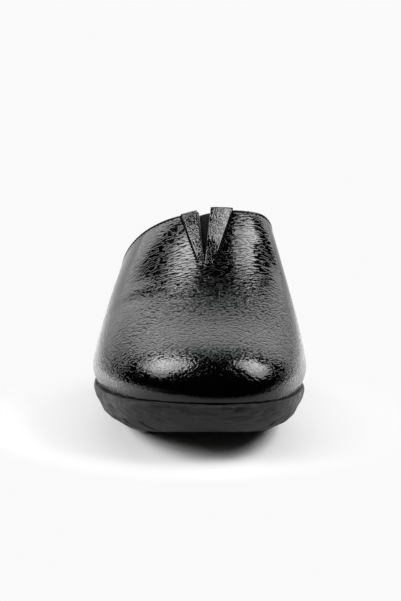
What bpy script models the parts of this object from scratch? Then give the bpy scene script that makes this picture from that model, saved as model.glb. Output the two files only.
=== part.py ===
"""Backless patent leather slipper for the right foot.

Metres. The floor is Z = 0, the toe points to -Y and the inner side of the foot is +X.
"""
from typing import Callable, NamedTuple

import bmesh
import bpy
import numpy as np

OBJECT_NAME = "patent_leather_slipper"

# Driving sizes
LENGTH = 0.258
BALL_WIDTH = 0.0985
INSTEP_HEIGHT = 0.0992
HEEL_HEIGHT = 0.036
UPPER_WALL = 0.002
GAP = 0.0003

# Upper
BELLY = 0.0012
TUCK_HEIGHT = 0.010
TOE_START = 0.045
TOE_CORNER = 0.014
TOE_FULLNESS = 5.0
FULLNESS_BLEND = (-0.35, 0.85)
THROAT_STATION = 0.104
COLLAR_END = 0.196
NOTCH_X = 0.0029
NOTCH_SHARE = 0.5
NOTCH_HALF_WIDTH = 0.0034

# Throat facings and gore
FACING_THICKNESS = 0.0010
FACING_TIP_WIDTH = {-1: 0.0027, 1: 0.0042}
FACING_TOP_WIDTH = {-1: 0.0083, 1: 0.0104}
GORE_THICKNESS = 0.0010
GORE_OVERLAP = 0.0050
GORE_SHARES = (0.42, 0.995)

# Sole
OUTSOLE_THICKNESS = 0.0032
OUTSOLE_EDGE = 0.0026
OUTSOLE_EDGE_INSET = 0.0042
OUTSOLE_LOWER_INSET = 0.0068
SHOULDER_INSET = 0.0145
SHOULDER_RISE = 0.0006
FLAT_INSET = 0.0180
SEAT_INSET = 0.0150
GROOVE_FIRST = 0.0150
GROOVE_PITCH = 0.0121
GROOVE_COUNT = 19
GROOVE_TOP = 0.0026
GROOVE_FLOOR = 0.0016
GROOVE_DEPTH = 0.0015
RIM_LIP = 0.0007
RIM_INSET = 0.0055
RECESS_DEPTH = 0.0025
INSOLE_INSET = 0.0059
INSOLE_EDGE_RISE = 0.0010
INSOLE_CROWN_RISE = 0.0016
HEEL_DISH = 0.0022
HEEL_DISH_STATION = 0.222
HEEL_DISH_REACH = 0.050

# Mesh density
TOE_ROWS = 11
BACK_ROWS = 14
HALF_COLUMNS = 17
FACING_COLUMNS = 3
GORE_COLUMNS = 6
GORE_ROWS = 8
SOLE_STEPS = 48
OUTSOLE_STEPS = 34
INSOLE_COLUMNS = 8
SHARP_ANGLE = 0.6
WELD_DISTANCE = 1e-5

# Steps of the numeric solutions
BISECT_STEPS = 48
SMALL_ANGLE = 1e-4
SMALL_LENGTH = 1e-5


class Section(NamedTuple):
    """One section across the shoe.

    station is the share of LENGTH from the toe; lateral, medial and crown are shares of BALL_WIDTH;
    feather (top edge of the sole), wall (lower edge of its side) and tread (underside, cut off at
    the floor) are shares of HEEL_HEIGHT; ridge is the share of INSTEP_HEIGHT of the last's crown.
    A higher fullness squares the section's shoulder on that side. tuck is the share of BALL_WIDTH by
    which the upper draws in where it meets the sole.
    """

    station: float
    lateral: float
    medial: float
    feather: float
    wall: float
    tread: float
    ridge: float
    crown: float
    lateral_fullness: float
    medial_fullness: float
    tuck: float


SECTIONS = (
    Section(0.000, 0.085, 0.085, 0.806, 0.472, 0.458, 0.470, 0.085, 2.80, 2.80, 0.0200),
    Section(0.016, -0.113, 0.258, 0.795, 0.462, 0.444, 0.477, 0.086, 2.76, 2.80, 0.0210),
    Section(0.050, -0.270, 0.364, 0.772, 0.432, 0.386, 0.494, 0.087, 2.68, 2.79, 0.0250),
    Section(0.116, -0.392, 0.446, 0.726, 0.355, 0.261, 0.535, 0.091, 2.53, 2.81, 0.0320),
    Section(0.213, -0.473, 0.491, 0.653, 0.258, 0.114, 0.645, 0.100, 2.31, 3.01, 0.0355),
    Section(0.329, -0.496, 0.481, 0.583, 0.159, 0.008, 0.836, 0.112, 2.01, 3.22, 0.0355),
    Section(0.465, -0.468, 0.394, 0.594, 0.089, -0.014, 1.055, 0.126, 1.83, 4.70, 0.0340),
    Section(0.601, -0.420, 0.370, 0.671, 0.071, -0.014, 1.124, 0.088, 2.05, 3.80, 0.0260),
    Section(0.736, -0.382, 0.339, 0.778, 0.074, -0.014, 1.147, 0.056, 1.88, 3.50, 0.0130),
    Section(0.853, -0.346, 0.324, 0.875, 0.083, -0.014, 1.149, 0.045, 1.90, 3.40, 0.0100),
    Section(0.942, -0.250, 0.243, 0.950, 0.091, -0.003, 1.149, 0.045, 1.90, 3.40, 0.0100),
    Section(1.000, -0.011, -0.011, 1.000, 0.097, 0.055, 1.149, 0.045, 1.90, 3.40, 0.0100),
)


class WallLevel(NamedTuple):
    """One level of the sole's side: inset from its outline and share of the height up the wall."""

    inset: float
    rise: float


WALL_LEVELS = (
    WallLevel(0.0026, 0.42),
    WallLevel(0.0008, 0.66),
    WallLevel(0.0000, 0.90),
)


class Finish(NamedTuple):
    """Colour and surface of one piece."""

    color: tuple[float, float, float]
    roughness: float
    coat: float


FINISHES = {
    "upper": Finish((0.010, 0.010, 0.011), 0.30, 1.0),
    "throat_facing_lateral": Finish((0.010, 0.010, 0.011), 0.30, 1.0),
    "throat_facing_medial": Finish((0.010, 0.010, 0.011), 0.30, 1.0),
    "gore": Finish((0.016, 0.016, 0.017), 0.75, 0.0),
    "insole": Finish((0.020, 0.020, 0.021), 0.70, 0.0),
    "midsole": Finish((0.060, 0.060, 0.065), 0.62, 0.0),
    "outsole": Finish((0.030, 0.030, 0.032), 0.70, 0.0),
}


class ClosedCurve:
    """Smooth periodic curve through values given at angles round the shoe."""

    def __init__(self, angles: np.ndarray, values: np.ndarray) -> None:
        count = len(angles)
        self.angles = angles
        self.values = values
        self.step = np.diff(np.append(angles, angles[0] + 2.0 * np.pi))
        self.rise = (np.roll(values, -1) - values) / self.step
        matrix = np.zeros((count, count))
        for i in range(count):
            matrix[i, i - 1] += self.step[i - 1]
            matrix[i, i] += 2.0 * (self.step[i - 1] + self.step[i])
            matrix[i, (i + 1) % count] += self.step[i]
        self.bend = np.linalg.solve(matrix, 6.0 * (self.rise - np.roll(self.rise, 1)))

    def __call__(self, angle: np.ndarray) -> np.ndarray:
        angle = np.mod(angle, 2.0 * np.pi)
        i = np.searchsorted(self.angles, angle, side="right") - 1
        near = self.bend[i]
        far = self.bend[(i + 1) % len(self.angles)]
        t = angle - self.angles[i]
        slope = self.rise[i] - self.step[i] * (2.0 * near + far) / 6.0
        return self.values[i] + t * (slope + t * (near / 2.0 + t * (far - near) / (6.0 * self.step[i])))


def station_angle(station: np.ndarray) -> np.ndarray:
    """Angle round the shoe, 0 at the toe and pi at the heel, of a station on the medial side."""
    share = np.clip(np.asarray(station, dtype=float) / LENGTH, 0.0, 1.0)
    return np.arccos(1.0 - 2.0 * share)


def angle_station(angle: np.ndarray) -> np.ndarray:
    """Distance from the toe of a point of the outline."""
    return LENGTH / 2.0 * (1.0 - np.cos(angle))


def section_curve(medial_column: str, lateral_column: str, size: float) -> ClosedCurve:
    """Curve through one column of the table on each side of the shoe."""
    angles = station_angle(np.array([row.station for row in SECTIONS]) * LENGTH)
    medial = np.array([getattr(row, medial_column) for row in SECTIONS]) * size
    lateral = np.array([getattr(row, lateral_column) for row in SECTIONS]) * size
    back = slice(-2, 0, -1)
    return ClosedCurve(np.append(angles, 2.0 * np.pi - angles[back]), np.append(medial, lateral[back]))


def along_curve(column: str, size: float) -> Callable[[np.ndarray], np.ndarray]:
    """Function of the station through one column of the table."""
    curve = section_curve(column, column, size)
    return lambda station: curve(station_angle(station))


outline_x = section_curve("medial", "lateral", BALL_WIDTH)
feather_z = along_curve("feather", HEEL_HEIGHT)
wall_z = along_curve("wall", HEEL_HEIGHT)
tread_curve = along_curve("tread", HEEL_HEIGHT)
ridge_z = along_curve("ridge", INSTEP_HEIGHT)
crown_x = along_curve("crown", BALL_WIDTH)
lateral_fullness = along_curve("lateral_fullness", 1.0)
medial_fullness = along_curve("medial_fullness", 1.0)
tuck_depth = along_curve("tuck", BALL_WIDTH)


def tread_z(station: np.ndarray) -> np.ndarray:
    """Height of the underside, flat on the floor under the ball and the heel."""
    return np.maximum(0.0, tread_curve(station))


def bisect(test: Callable[[np.ndarray], np.ndarray], low: np.ndarray, high: np.ndarray) -> np.ndarray:
    """Values between low and high where the test changes from true to false."""
    for _ in range(BISECT_STEPS):
        middle = (low + high) / 2.0
        passed = test(middle)
        low = np.where(passed, middle, low)
        high = np.where(passed, high, middle)
    return (low + high) / 2.0


def across_x(reach: np.ndarray, station: np.ndarray, belly: float) -> np.ndarray:
    """X of a point at a share of the way from the crown to the sole's edge on its side."""
    crown = crown_x(station)
    angle = station_angle(station)
    lateral = outline_x(-angle) - belly
    medial = outline_x(angle) + belly
    return crown + np.where(reach < 0.0, reach * (crown - lateral), reach * (medial - crown))


def toe_bow(reach: np.ndarray) -> np.ndarray:
    """Share of TOE_CORNER by which the toe's edge stands in front of the line of its corners."""
    x = across_x(reach, np.full_like(reach, TOE_CORNER), 0.0)
    corner = np.full_like(reach, float(station_angle(TOE_CORNER)))
    angle = bisect(lambda value: outline_x(value) < x, -corner, corner)
    return 1.0 - angle_station(angle) / TOE_CORNER


def shell(across: np.ndarray, station: np.ndarray, toe: np.ndarray) -> np.ndarray:
    """Points of the outside of the upper.

    across runs from -1 at the lateral edge of the sole to 1 at the medial one. Behind TOE_START a row
    lies straight across at its station and toe is 0; from there rows bow round the toe as toe goes to 1.
    """
    across, station, toe = np.broadcast_arrays(across, station, toe)
    reach = np.sin(across * np.pi / 2.0)
    forward = np.sin(toe * np.pi / 2.0)
    side = np.where(toe > 0.0, TOE_START - (TOE_START - TOE_CORNER) * forward, station)
    x = across_x(reach, side, BELLY)
    along = side - TOE_CORNER * forward**3 * toe_bow(reach)
    blend = np.clip((reach - FULLNESS_BLEND[0]) / (FULLNESS_BLEND[1] - FULLNESS_BLEND[0]), 0.0, 1.0)
    blend = blend * blend * (3.0 - 2.0 * blend)
    fullness = lateral_fullness(along) * (1.0 - blend) + medial_fullness(along) * blend
    section = np.sqrt(np.maximum(0.0, 1.0 - np.abs(reach) ** fullness))
    nose = np.sqrt(np.maximum(0.0, 1.0 - forward**TOE_FULLNESS))
    height = (ridge_z(along) - feather_z(along)) * section * nose
    tuck = tuck_depth(along) * np.clip(1.0 - height / TUCK_HEIGHT, 0.0, 1.0) ** 2
    size = np.maximum(SMALL_LENGTH, np.hypot(reach, forward))
    x = x - tuck * reach / size
    along = along + tuck * forward / size
    return np.stack([x, along - LENGTH / 2.0, feather_z(along) + height + GAP], axis=-1)


def shell_normal(across: np.ndarray, station: np.ndarray) -> np.ndarray:
    """Outward directions of the upper behind the toe rows."""
    across, station = np.broadcast_arrays(across, station)
    sideways = shell(across + SMALL_ANGLE, station, 0.0) - shell(across - SMALL_ANGLE, station, 0.0)
    backward = shell(across, station + SMALL_LENGTH, 0.0) - shell(across, station - SMALL_LENGTH, 0.0)
    normal = np.cross(sideways, backward)
    return normal / np.linalg.norm(normal, axis=-1, keepdims=True)


def collar_z(station: np.ndarray) -> np.ndarray:
    """Height of the collar, falling straight from the throat to the sole."""
    share = (station - THROAT_STATION) / (COLLAR_END - THROAT_STATION)
    return INSTEP_HEIGHT + (feather_z(COLLAR_END) - INSTEP_HEIGHT) * share


def collar_station(across: np.ndarray) -> np.ndarray:
    """Station at which the upper meets the collar's slope."""
    low = np.full_like(across, TOE_START)
    high = np.full_like(across, COLLAR_END)
    return bisect(lambda station: shell(across, station, 0.0)[..., 2] - GAP < collar_z(station), low, high)


def x_across(x: float, station: np.ndarray) -> np.ndarray:
    """across value of an X near the crown."""
    crown = crown_x(station)
    angle = station_angle(station)
    span = np.where(x < crown, crown - outline_x(-angle) + BELLY, outline_x(angle) + BELLY - crown)
    return np.arcsin((x - crown) / span) * 2.0 / np.pi


THROAT_ACROSS = float(x_across(NOTCH_X, np.array(THROAT_STATION)))
THROAT_BACK = float(collar_station(np.array(THROAT_ACROSS)))


def throat_station(share: np.ndarray) -> np.ndarray:
    """Station on the throat's line at a share of the way from TOE_START to the collar."""
    return TOE_START + (THROAT_BACK - TOE_START) * share


def notch_half(share: np.ndarray) -> np.ndarray:
    """Half of the open width of the notch."""
    return NOTCH_HALF_WIDTH * np.clip((share - NOTCH_SHARE) / (1.0 - NOTCH_SHARE), 0.0, 1.0)


def throat_edge(share: np.ndarray, side: int, width: np.ndarray) -> np.ndarray:
    """across value at a width beside the notch's edge on one side."""
    station = throat_station(share)
    return x_across(NOTCH_X + side * (notch_half(share) + width), station)


def half_points(side: int) -> np.ndarray:
    """Grid of the upper on one side of the throat, from the toe's edge to the collar."""
    share = np.linspace(0.0, 1.0, BACK_ROWS + 1)
    edge = throat_edge(share, side, np.zeros_like(share))
    toe = np.linspace(1.0, 0.0, TOE_ROWS + 1)[:-1]
    spread = np.linspace(0.0, 1.0, HALF_COLUMNS + 1)
    toe_across = edge[0] + (side - edge[0]) * spread
    front = shell(toe_across[None, :], TOE_START, toe[:, None])
    across = edge[:, None] + (side - edge[:, None]) * spread
    collar = collar_station(across)
    back = shell(across, TOE_START + (collar - TOE_START) * share[:, None], 0.0)
    points = np.concatenate([front, back])
    return points[:, ::-1] if side < 0 else points


def facing_points(side: int) -> np.ndarray:
    """Grid of one throat facing, standing off the upper."""
    share = np.linspace(NOTCH_SHARE, 1.0, BACK_ROWS // 2 + 1)
    taper = (share - NOTCH_SHARE) / (1.0 - NOTCH_SHARE)
    width = FACING_TIP_WIDTH[side] + (FACING_TOP_WIDTH[side] - FACING_TIP_WIDTH[side]) * taper
    near = throat_edge(share, side, np.zeros_like(share))
    far = throat_edge(share, side, width)
    across = near[:, None] + (far - near)[:, None] * np.linspace(0.0, 1.0, FACING_COLUMNS + 1)
    station = TOE_START + (collar_station(across) - TOE_START) * share[:, None]
    points = shell(across, station, 0.0) + GAP * shell_normal(across, station)
    return points[:, ::-1] if side < 0 else points


def gore_points() -> np.ndarray:
    """Grid of the elastic gore behind the notch, its outer face inside the upper's wall."""
    share = np.linspace(*GORE_SHARES, GORE_ROWS + 1)
    low = throat_edge(share, -1, np.full_like(share, GORE_OVERLAP))
    high = throat_edge(share, 1, np.full_like(share, GORE_OVERLAP))
    across = low[:, None] + (high - low)[:, None] * np.linspace(0.0, 1.0, GORE_COLUMNS + 1)
    station = np.broadcast_to(throat_station(share)[:, None], across.shape)
    return shell(across, station, 0.0) - (UPPER_WALL + GAP) * shell_normal(across, station)


def add_grid(bm: bmesh.types.BMesh, points: np.ndarray) -> None:
    """Lay a grid of quads through the points."""
    rows, columns = points.shape[:2]
    made = bmesh.ops.create_grid(bm, x_segments=columns - 1, y_segments=rows - 1, size=0.5)
    for vertex, point in zip(made["verts"], points.reshape(-1, 3)):
        vertex.co = point


def ring_points(angles: np.ndarray, inset: float) -> np.ndarray:
    """X and station of the sole's outline moved inwards, and the outline's own station."""
    x = outline_x(angles)
    station = angle_station(angles)
    x_slope = outline_x(angles + SMALL_ANGLE) - outline_x(angles - SMALL_ANGLE)
    station_slope = angle_station(angles + SMALL_ANGLE) - angle_station(angles - SMALL_ANGLE)
    size = np.hypot(x_slope, station_slope)
    return np.stack([x - inset * station_slope / size, station + inset * x_slope / size, station])


def ring_angles(stations: np.ndarray) -> np.ndarray:
    """Angles of the stations down the medial side and back up the lateral side."""
    angles = station_angle(stations)
    return np.append(angles, 2.0 * np.pi - angles[-2:0:-1])


def add_ring(bm: bmesh.types.BMesh, ring: np.ndarray, height: np.ndarray) -> list:
    """Vertices of one ring of the sole."""
    return [bm.verts.new((x, y, z)) for x, y, z in zip(ring[0], ring[1] - LENGTH / 2.0, height)]


def loft(bm: bmesh.types.BMesh, rings: list[list]) -> None:
    """Join rings of equal count one after another and close both ends with strips across."""
    count = len(rings[0])
    for lower, upper in zip(rings, rings[1:]):
        for i in range(count):
            j = (i + 1) % count
            bm.faces.new((lower[i], lower[j], upper[j], upper[i]))
    for ring in (rings[0], rings[-1]):
        for i in range(count // 2):
            strip = (ring[i], ring[i + 1], ring[-i - 1], ring[-i % count])
            bm.faces.new(tuple(dict.fromkeys(strip)))
    bmesh.ops.recalc_face_normals(bm, faces=bm.faces)


def groove_stations() -> tuple[np.ndarray, np.ndarray]:
    """Stations of the outsole's rings and the share of the groove's depth at each."""
    centres = GROOVE_FIRST + GROOVE_PITCH * np.arange(GROOVE_COUNT)
    even = angle_station(np.linspace(0.0, np.pi, OUTSOLE_STEPS + 1))
    clear = np.abs(even[:, None] - centres).min(axis=1) > GROOVE_TOP
    tops = np.concatenate([centres - GROOVE_TOP / 2.0, centres + GROOVE_TOP / 2.0])
    floors = np.concatenate([centres - GROOVE_FLOOR / 2.0, centres + GROOVE_FLOOR / 2.0])
    stations = np.concatenate([even[clear], tops, floors])
    depths = np.concatenate([np.zeros(clear.sum() + len(tops)), np.ones(len(floors))])
    order = np.argsort(stations)
    return stations[order], depths[order]


def build_outsole(bm: bmesh.types.BMesh) -> None:
    """Rubber tread with grooves across it that show as notches in its edge."""
    stations, depths = groove_stations()
    angles = ring_angles(stations)
    lift = GROOVE_DEPTH * np.append(depths, depths[-2:0:-1])
    flat = ring_points(angles, FLAT_INSET)
    shoulder = ring_points(angles, SHOULDER_INSET)
    lower = ring_points(angles, OUTSOLE_LOWER_INSET)
    edge = ring_points(angles, OUTSOLE_EDGE_INSET)
    seat = ring_points(angles, SEAT_INSET)
    loft(bm, [
        add_ring(bm, flat, tread_z(flat[1]) + lift),
        add_ring(bm, shoulder, tread_z(shoulder[1]) + SHOULDER_RISE + lift),
        add_ring(bm, lower, wall_z(lower[2]) + lift),
        add_ring(bm, edge, wall_z(edge[2]) + OUTSOLE_EDGE),
        add_ring(bm, seat, tread_z(seat[1]) + OUTSOLE_THICKNESS),
    ])


def build_midsole(bm: bmesh.types.BMesh) -> None:
    """Wedge with a hull shaped side and a recess for the insole."""
    angles = ring_angles(angle_station(np.linspace(0.0, np.pi, SOLE_STEPS + 1)))
    seat = ring_points(angles, SEAT_INSET)
    foot = ring_points(angles, OUTSOLE_EDGE_INSET + GAP)
    rim = ring_points(angles, RIM_LIP)
    inner = ring_points(angles, RIM_INSET)
    rings = [
        add_ring(bm, seat, tread_z(seat[1]) + OUTSOLE_THICKNESS + GAP),
        add_ring(bm, foot, wall_z(foot[2]) + OUTSOLE_EDGE + GAP),
    ]
    for level in WALL_LEVELS:
        ring = ring_points(angles, level.inset)
        low = wall_z(ring[2])
        rings.append(add_ring(bm, ring, low + (feather_z(ring[2]) - low) * level.rise))
    rings.append(add_ring(bm, rim, feather_z(rim[2])))
    rings.append(add_ring(bm, inner, feather_z(inner[1])))
    rings.append(add_ring(bm, inner, feather_z(inner[1]) - RECESS_DEPTH))
    loft(bm, rings)


def build_insole(bm: bmesh.types.BMesh) -> None:
    """Footbed lying in the recess, crowned along its middle and dished under the heel."""
    angles = np.linspace(0.0, np.pi, SOLE_STEPS + 1)
    medial = ring_points(angles, INSOLE_INSET)
    lateral = ring_points(-angles, INSOLE_INSET)
    share = np.linspace(0.0, 1.0, INSOLE_COLUMNS + 1)
    x = lateral[0][:, None] + (medial[0] - lateral[0])[:, None] * share
    station = lateral[1][:, None] + (medial[1] - lateral[1])[:, None] * share
    middle = 1.0 - (2.0 * share - 1.0) ** 2
    from_heel = np.clip(np.abs(station - HEEL_DISH_STATION) / HEEL_DISH_REACH, 0.0, 1.0)
    dish = HEEL_DISH * (1.0 - from_heel**2) ** 2
    z = feather_z(station) + INSOLE_EDGE_RISE + (INSOLE_CROWN_RISE - dish) * middle
    add_grid(bm, np.stack([x, station - LENGTH / 2.0, z], axis=-1))
    bmesh.ops.remove_doubles(bm, verts=bm.verts, dist=WELD_DISTANCE)
    made = bmesh.ops.extrude_face_region(bm, geom=list(bm.faces), use_keep_orig=True)
    for vertex in made["geom"]:
        if isinstance(vertex, bmesh.types.BMVert):
            floor = feather_z(vertex.co.y + LENGTH / 2.0) - RECESS_DEPTH + GAP
            vertex.co.z = float(floor)
    bmesh.ops.recalc_face_normals(bm, faces=bm.faces)


def build_upper(bm: bmesh.types.BMesh) -> None:
    """Outside of the upper, its two halves joined below the notch."""
    add_grid(bm, half_points(-1))
    add_grid(bm, half_points(1))
    bmesh.ops.remove_doubles(bm, verts=bm.verts, dist=WELD_DISTANCE)


def material(name: str) -> bpy.types.Material:
    """Material of one piece."""
    finish = FINISHES[name]
    made = bpy.data.materials.new(name)
    made.use_nodes = True
    shader = made.node_tree.nodes["Principled BSDF"]
    shader.inputs["Base Color"].default_value = (*finish.color, 1.0)
    shader.inputs["Roughness"].default_value = finish.roughness
    shader.inputs["Metallic"].default_value = 0.0
    shader.inputs["Coat Weight"].default_value = finish.coat
    return made


def add_part(name: str, build: Callable[[bmesh.types.BMesh], None]) -> bpy.types.Object:
    """Make one piece in the object's collection."""
    bm = bmesh.new()
    build(bm)
    mesh = bpy.data.meshes.new(name)
    bm.to_mesh(mesh)
    bm.free()
    mesh.shade_smooth()
    mesh.set_sharp_from_angle(angle=SHARP_ANGLE)
    mesh.materials.append(material(name))
    part = bpy.data.objects.new(name, mesh)
    bpy.data.collections[OBJECT_NAME].objects.link(part)
    return part


def thicken(part: bpy.types.Object, thickness: float, outward: bool) -> None:
    """Give a sheet its wall on one side."""
    wall = part.modifiers.new("wall", "SOLIDIFY")
    wall.thickness = thickness
    wall.offset = 1.0 if outward else -1.0
    wall.use_even_offset = True
    wall.use_rim = True


def main() -> None:
    """Build the slipper."""
    for old in list(bpy.data.objects):
        bpy.data.objects.remove(old, do_unlink=True)
    collection = bpy.data.collections.new(OBJECT_NAME)
    bpy.context.scene.collection.children.link(collection)
    upper = add_part("upper", build_upper)
    thicken(upper, UPPER_WALL, outward=False)
    for name, side in (("throat_facing_lateral", -1), ("throat_facing_medial", 1)):
        facing = add_part(name, lambda bm, side=side: add_grid(bm, facing_points(side)))
        thicken(facing, FACING_THICKNESS, outward=True)
        facing.parent = upper
    gore = add_part("gore", lambda bm: add_grid(bm, gore_points()))
    thicken(gore, GORE_THICKNESS, outward=False)
    gore.parent = upper
    midsole = add_part("midsole", build_midsole)
    upper.parent = midsole
    for name, build in (("outsole", build_outsole), ("insole", build_insole)):
        add_part(name, build).parent = midsole


main()
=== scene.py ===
"""Looks of a backless patent leather slipper for the right foot.

Metres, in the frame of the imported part: the floor is Z = 0, the toe points to -Y and the inner side of
the foot is +X. Every dressed piece stands for one node of the part and keeps its form.
"""
import logging
import math
from collections.abc import Callable, Sequence
from dataclasses import dataclass, field
from enum import Enum, IntEnum
from typing import NamedTuple

import bpy
import numpy as np
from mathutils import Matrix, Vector

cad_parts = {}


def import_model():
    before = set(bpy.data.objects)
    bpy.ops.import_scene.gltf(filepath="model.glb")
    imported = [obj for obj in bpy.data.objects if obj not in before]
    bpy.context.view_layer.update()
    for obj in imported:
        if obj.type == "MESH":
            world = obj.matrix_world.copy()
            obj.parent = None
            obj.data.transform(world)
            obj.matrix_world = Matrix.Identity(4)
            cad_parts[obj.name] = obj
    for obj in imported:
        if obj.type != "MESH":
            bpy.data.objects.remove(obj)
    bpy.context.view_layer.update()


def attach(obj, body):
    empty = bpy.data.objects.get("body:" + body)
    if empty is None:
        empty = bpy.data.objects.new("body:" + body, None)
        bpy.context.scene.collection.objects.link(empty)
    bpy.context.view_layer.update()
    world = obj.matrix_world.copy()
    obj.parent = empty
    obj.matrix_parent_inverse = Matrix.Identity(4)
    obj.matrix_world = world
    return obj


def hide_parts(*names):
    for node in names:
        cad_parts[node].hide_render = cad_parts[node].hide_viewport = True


LOG = logging.getLogger("slipper")
BODY = "root"


class Side(IntEnum):
    """The two sides of the foot, by the sign of X."""

    LATERAL = -1
    MEDIAL = 1


class Slot(Enum):
    """Material slots of the part's record."""

    PATENT = "patent_leather"
    ELASTIC = "elastic"
    FOOTBED = "footbed"
    FOAM = "foam"
    TREAD = "tread"


class Section(NamedTuple):
    """One section across the shoe.

    station is the share of the length from the toe; lateral, medial and crown are shares of the ball
    width; feather (top edge of the sole), wall (lower edge of its side) and tread (underside, cut off
    at the floor) are shares of the heel height; ridge is the share of the instep height of the last's
    crown. A higher fullness squares the section's shoulder on that side. tuck is the share of the ball
    width by which the upper draws in where it meets the sole.
    """

    station: float
    lateral: float
    medial: float
    feather: float
    wall: float
    tread: float
    ridge: float
    crown: float
    lateral_fullness: float
    medial_fullness: float
    tuck: float


SECTIONS = (
    Section(0.000, 0.085, 0.085, 0.806, 0.472, 0.458, 0.470, 0.085, 2.80, 2.80, 0.0200),
    Section(0.016, -0.113, 0.258, 0.795, 0.462, 0.444, 0.477, 0.086, 2.76, 2.80, 0.0210),
    Section(0.050, -0.270, 0.364, 0.772, 0.432, 0.386, 0.494, 0.087, 2.68, 2.79, 0.0250),
    Section(0.116, -0.392, 0.446, 0.726, 0.355, 0.261, 0.535, 0.091, 2.53, 2.81, 0.0320),
    Section(0.213, -0.473, 0.491, 0.653, 0.258, 0.114, 0.645, 0.100, 2.31, 3.01, 0.0355),
    Section(0.329, -0.496, 0.481, 0.583, 0.159, 0.008, 0.836, 0.112, 2.01, 3.22, 0.0355),
    Section(0.465, -0.468, 0.394, 0.594, 0.089, -0.014, 1.055, 0.126, 1.83, 4.70, 0.0340),
    Section(0.601, -0.420, 0.370, 0.671, 0.071, -0.014, 1.124, 0.088, 2.05, 3.80, 0.0260),
    Section(0.736, -0.382, 0.339, 0.778, 0.074, -0.014, 1.147, 0.056, 1.88, 3.50, 0.0130),
    Section(0.853, -0.346, 0.324, 0.875, 0.083, -0.014, 1.149, 0.045, 1.90, 3.40, 0.0100),
    Section(0.942, -0.250, 0.243, 0.950, 0.091, -0.003, 1.149, 0.045, 1.90, 3.40, 0.0100),
    Section(1.000, -0.011, -0.011, 1.000, 0.097, 0.055, 1.149, 0.045, 1.90, 3.40, 0.0100),
)


class ClosedCurve:
    """Smooth periodic curve through values given at angles round the shoe."""

    def __init__(self, angles: np.ndarray, values: np.ndarray) -> None:
        """Fit the curve.

        Args:
            angles: Rising angles in one turn.
            values: The curve's value at each angle.
        """
        count = len(angles)
        self.angles = angles
        self.values = values
        self.step = np.diff(np.append(angles, angles[0] + 2.0 * np.pi))
        self.rise = (np.roll(values, -1) - values) / self.step
        matrix = np.zeros((count, count))
        for i in range(count):
            matrix[i, i - 1] += self.step[i - 1]
            matrix[i, i] += 2.0 * (self.step[i - 1] + self.step[i])
            matrix[i, (i + 1) % count] += self.step[i]
        self.bend = np.linalg.solve(matrix, 6.0 * (self.rise - np.roll(self.rise, 1)))

    def __call__(self, angle: np.ndarray) -> np.ndarray:
        """Read the curve.

        Args:
            angle: Angles, which may lie outside one turn.

        Returns:
            The curve's values.
        """
        angle = np.mod(angle, 2.0 * np.pi)
        i = np.searchsorted(self.angles, angle, side="right") - 1
        near = self.bend[i]
        far = self.bend[(i + 1) % len(self.angles)]
        t = angle - self.angles[i]
        slope = self.rise[i] - self.step[i] * (2.0 * near + far) / 6.0
        return self.values[i] + t * (slope + t * (near / 2.0 + t * (far - near) / (6.0 * self.step[i])))


def bisect(test: Callable[[np.ndarray], np.ndarray], low: np.ndarray, high: np.ndarray) -> np.ndarray:
    """Find where a test changes from true to false.

    Args:
        test: Function that is true below the value sought and false above it.
        low: Lower limits.
        high: Upper limits.

    Returns:
        The values where the test changes.
    """
    steps = 40
    for _ in range(steps):
        middle = (low + high) / 2.0
        passed = test(middle)
        low = np.where(passed, middle, low)
        high = np.where(passed, high, middle)
    return (low + high) / 2.0


def ease(value: np.ndarray, low: float, high: float) -> np.ndarray:
    """Smooth step from 0 at low to 1 at high."""
    t = np.clip((value - low) / (high - low), 0.0, 1.0)
    return t * t * (3.0 - 2.0 * t)


def unit(vectors: np.ndarray) -> np.ndarray:
    """Vectors of length 1 along the last axis."""
    size = np.linalg.norm(vectors, axis=-1, keepdims=True)
    return vectors / np.maximum(size, 1e-12)


def surface_lengths(points: np.ndarray) -> np.ndarray:
    """Measure a sheet of points along itself.

    Args:
        points: Rows and columns of points.

    Returns:
        For each point its distance across from the first column and along from the first row.
    """
    across = np.linalg.norm(np.diff(points, axis=1, prepend=points[:, :1]), axis=-1).cumsum(axis=1)
    along = np.linalg.norm(np.diff(points, axis=0, prepend=points[:1]), axis=-1).cumsum(axis=0)
    return np.stack([across, along], axis=-1)


def smooth_rows(keys: np.ndarray, steps: int) -> np.ndarray:
    """Lay a smooth curve through rows of points.

    Args:
        keys: Rows of points to pass through, first axis along the curve.
        steps: Rows made for each gap between two keys.

    Returns:
        The denser rows, the first and last keys among them.
    """
    padded = np.concatenate([2.0 * keys[:1] - keys[1:2], keys, 2.0 * keys[-1:] - keys[-2:-1]])
    rows = []
    for i in range(len(keys) - 1):
        a, b, c, d = padded[i:i + 4]
        for t in np.linspace(0.0, 1.0, steps, endpoint=False):
            rows.append(b + 0.5 * t * (c - a + t * (2 * a - 5 * b + 4 * c - d + t * (3 * (b - c) + d - a))))
    rows.append(keys[-1])
    return np.stack(rows)


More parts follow.
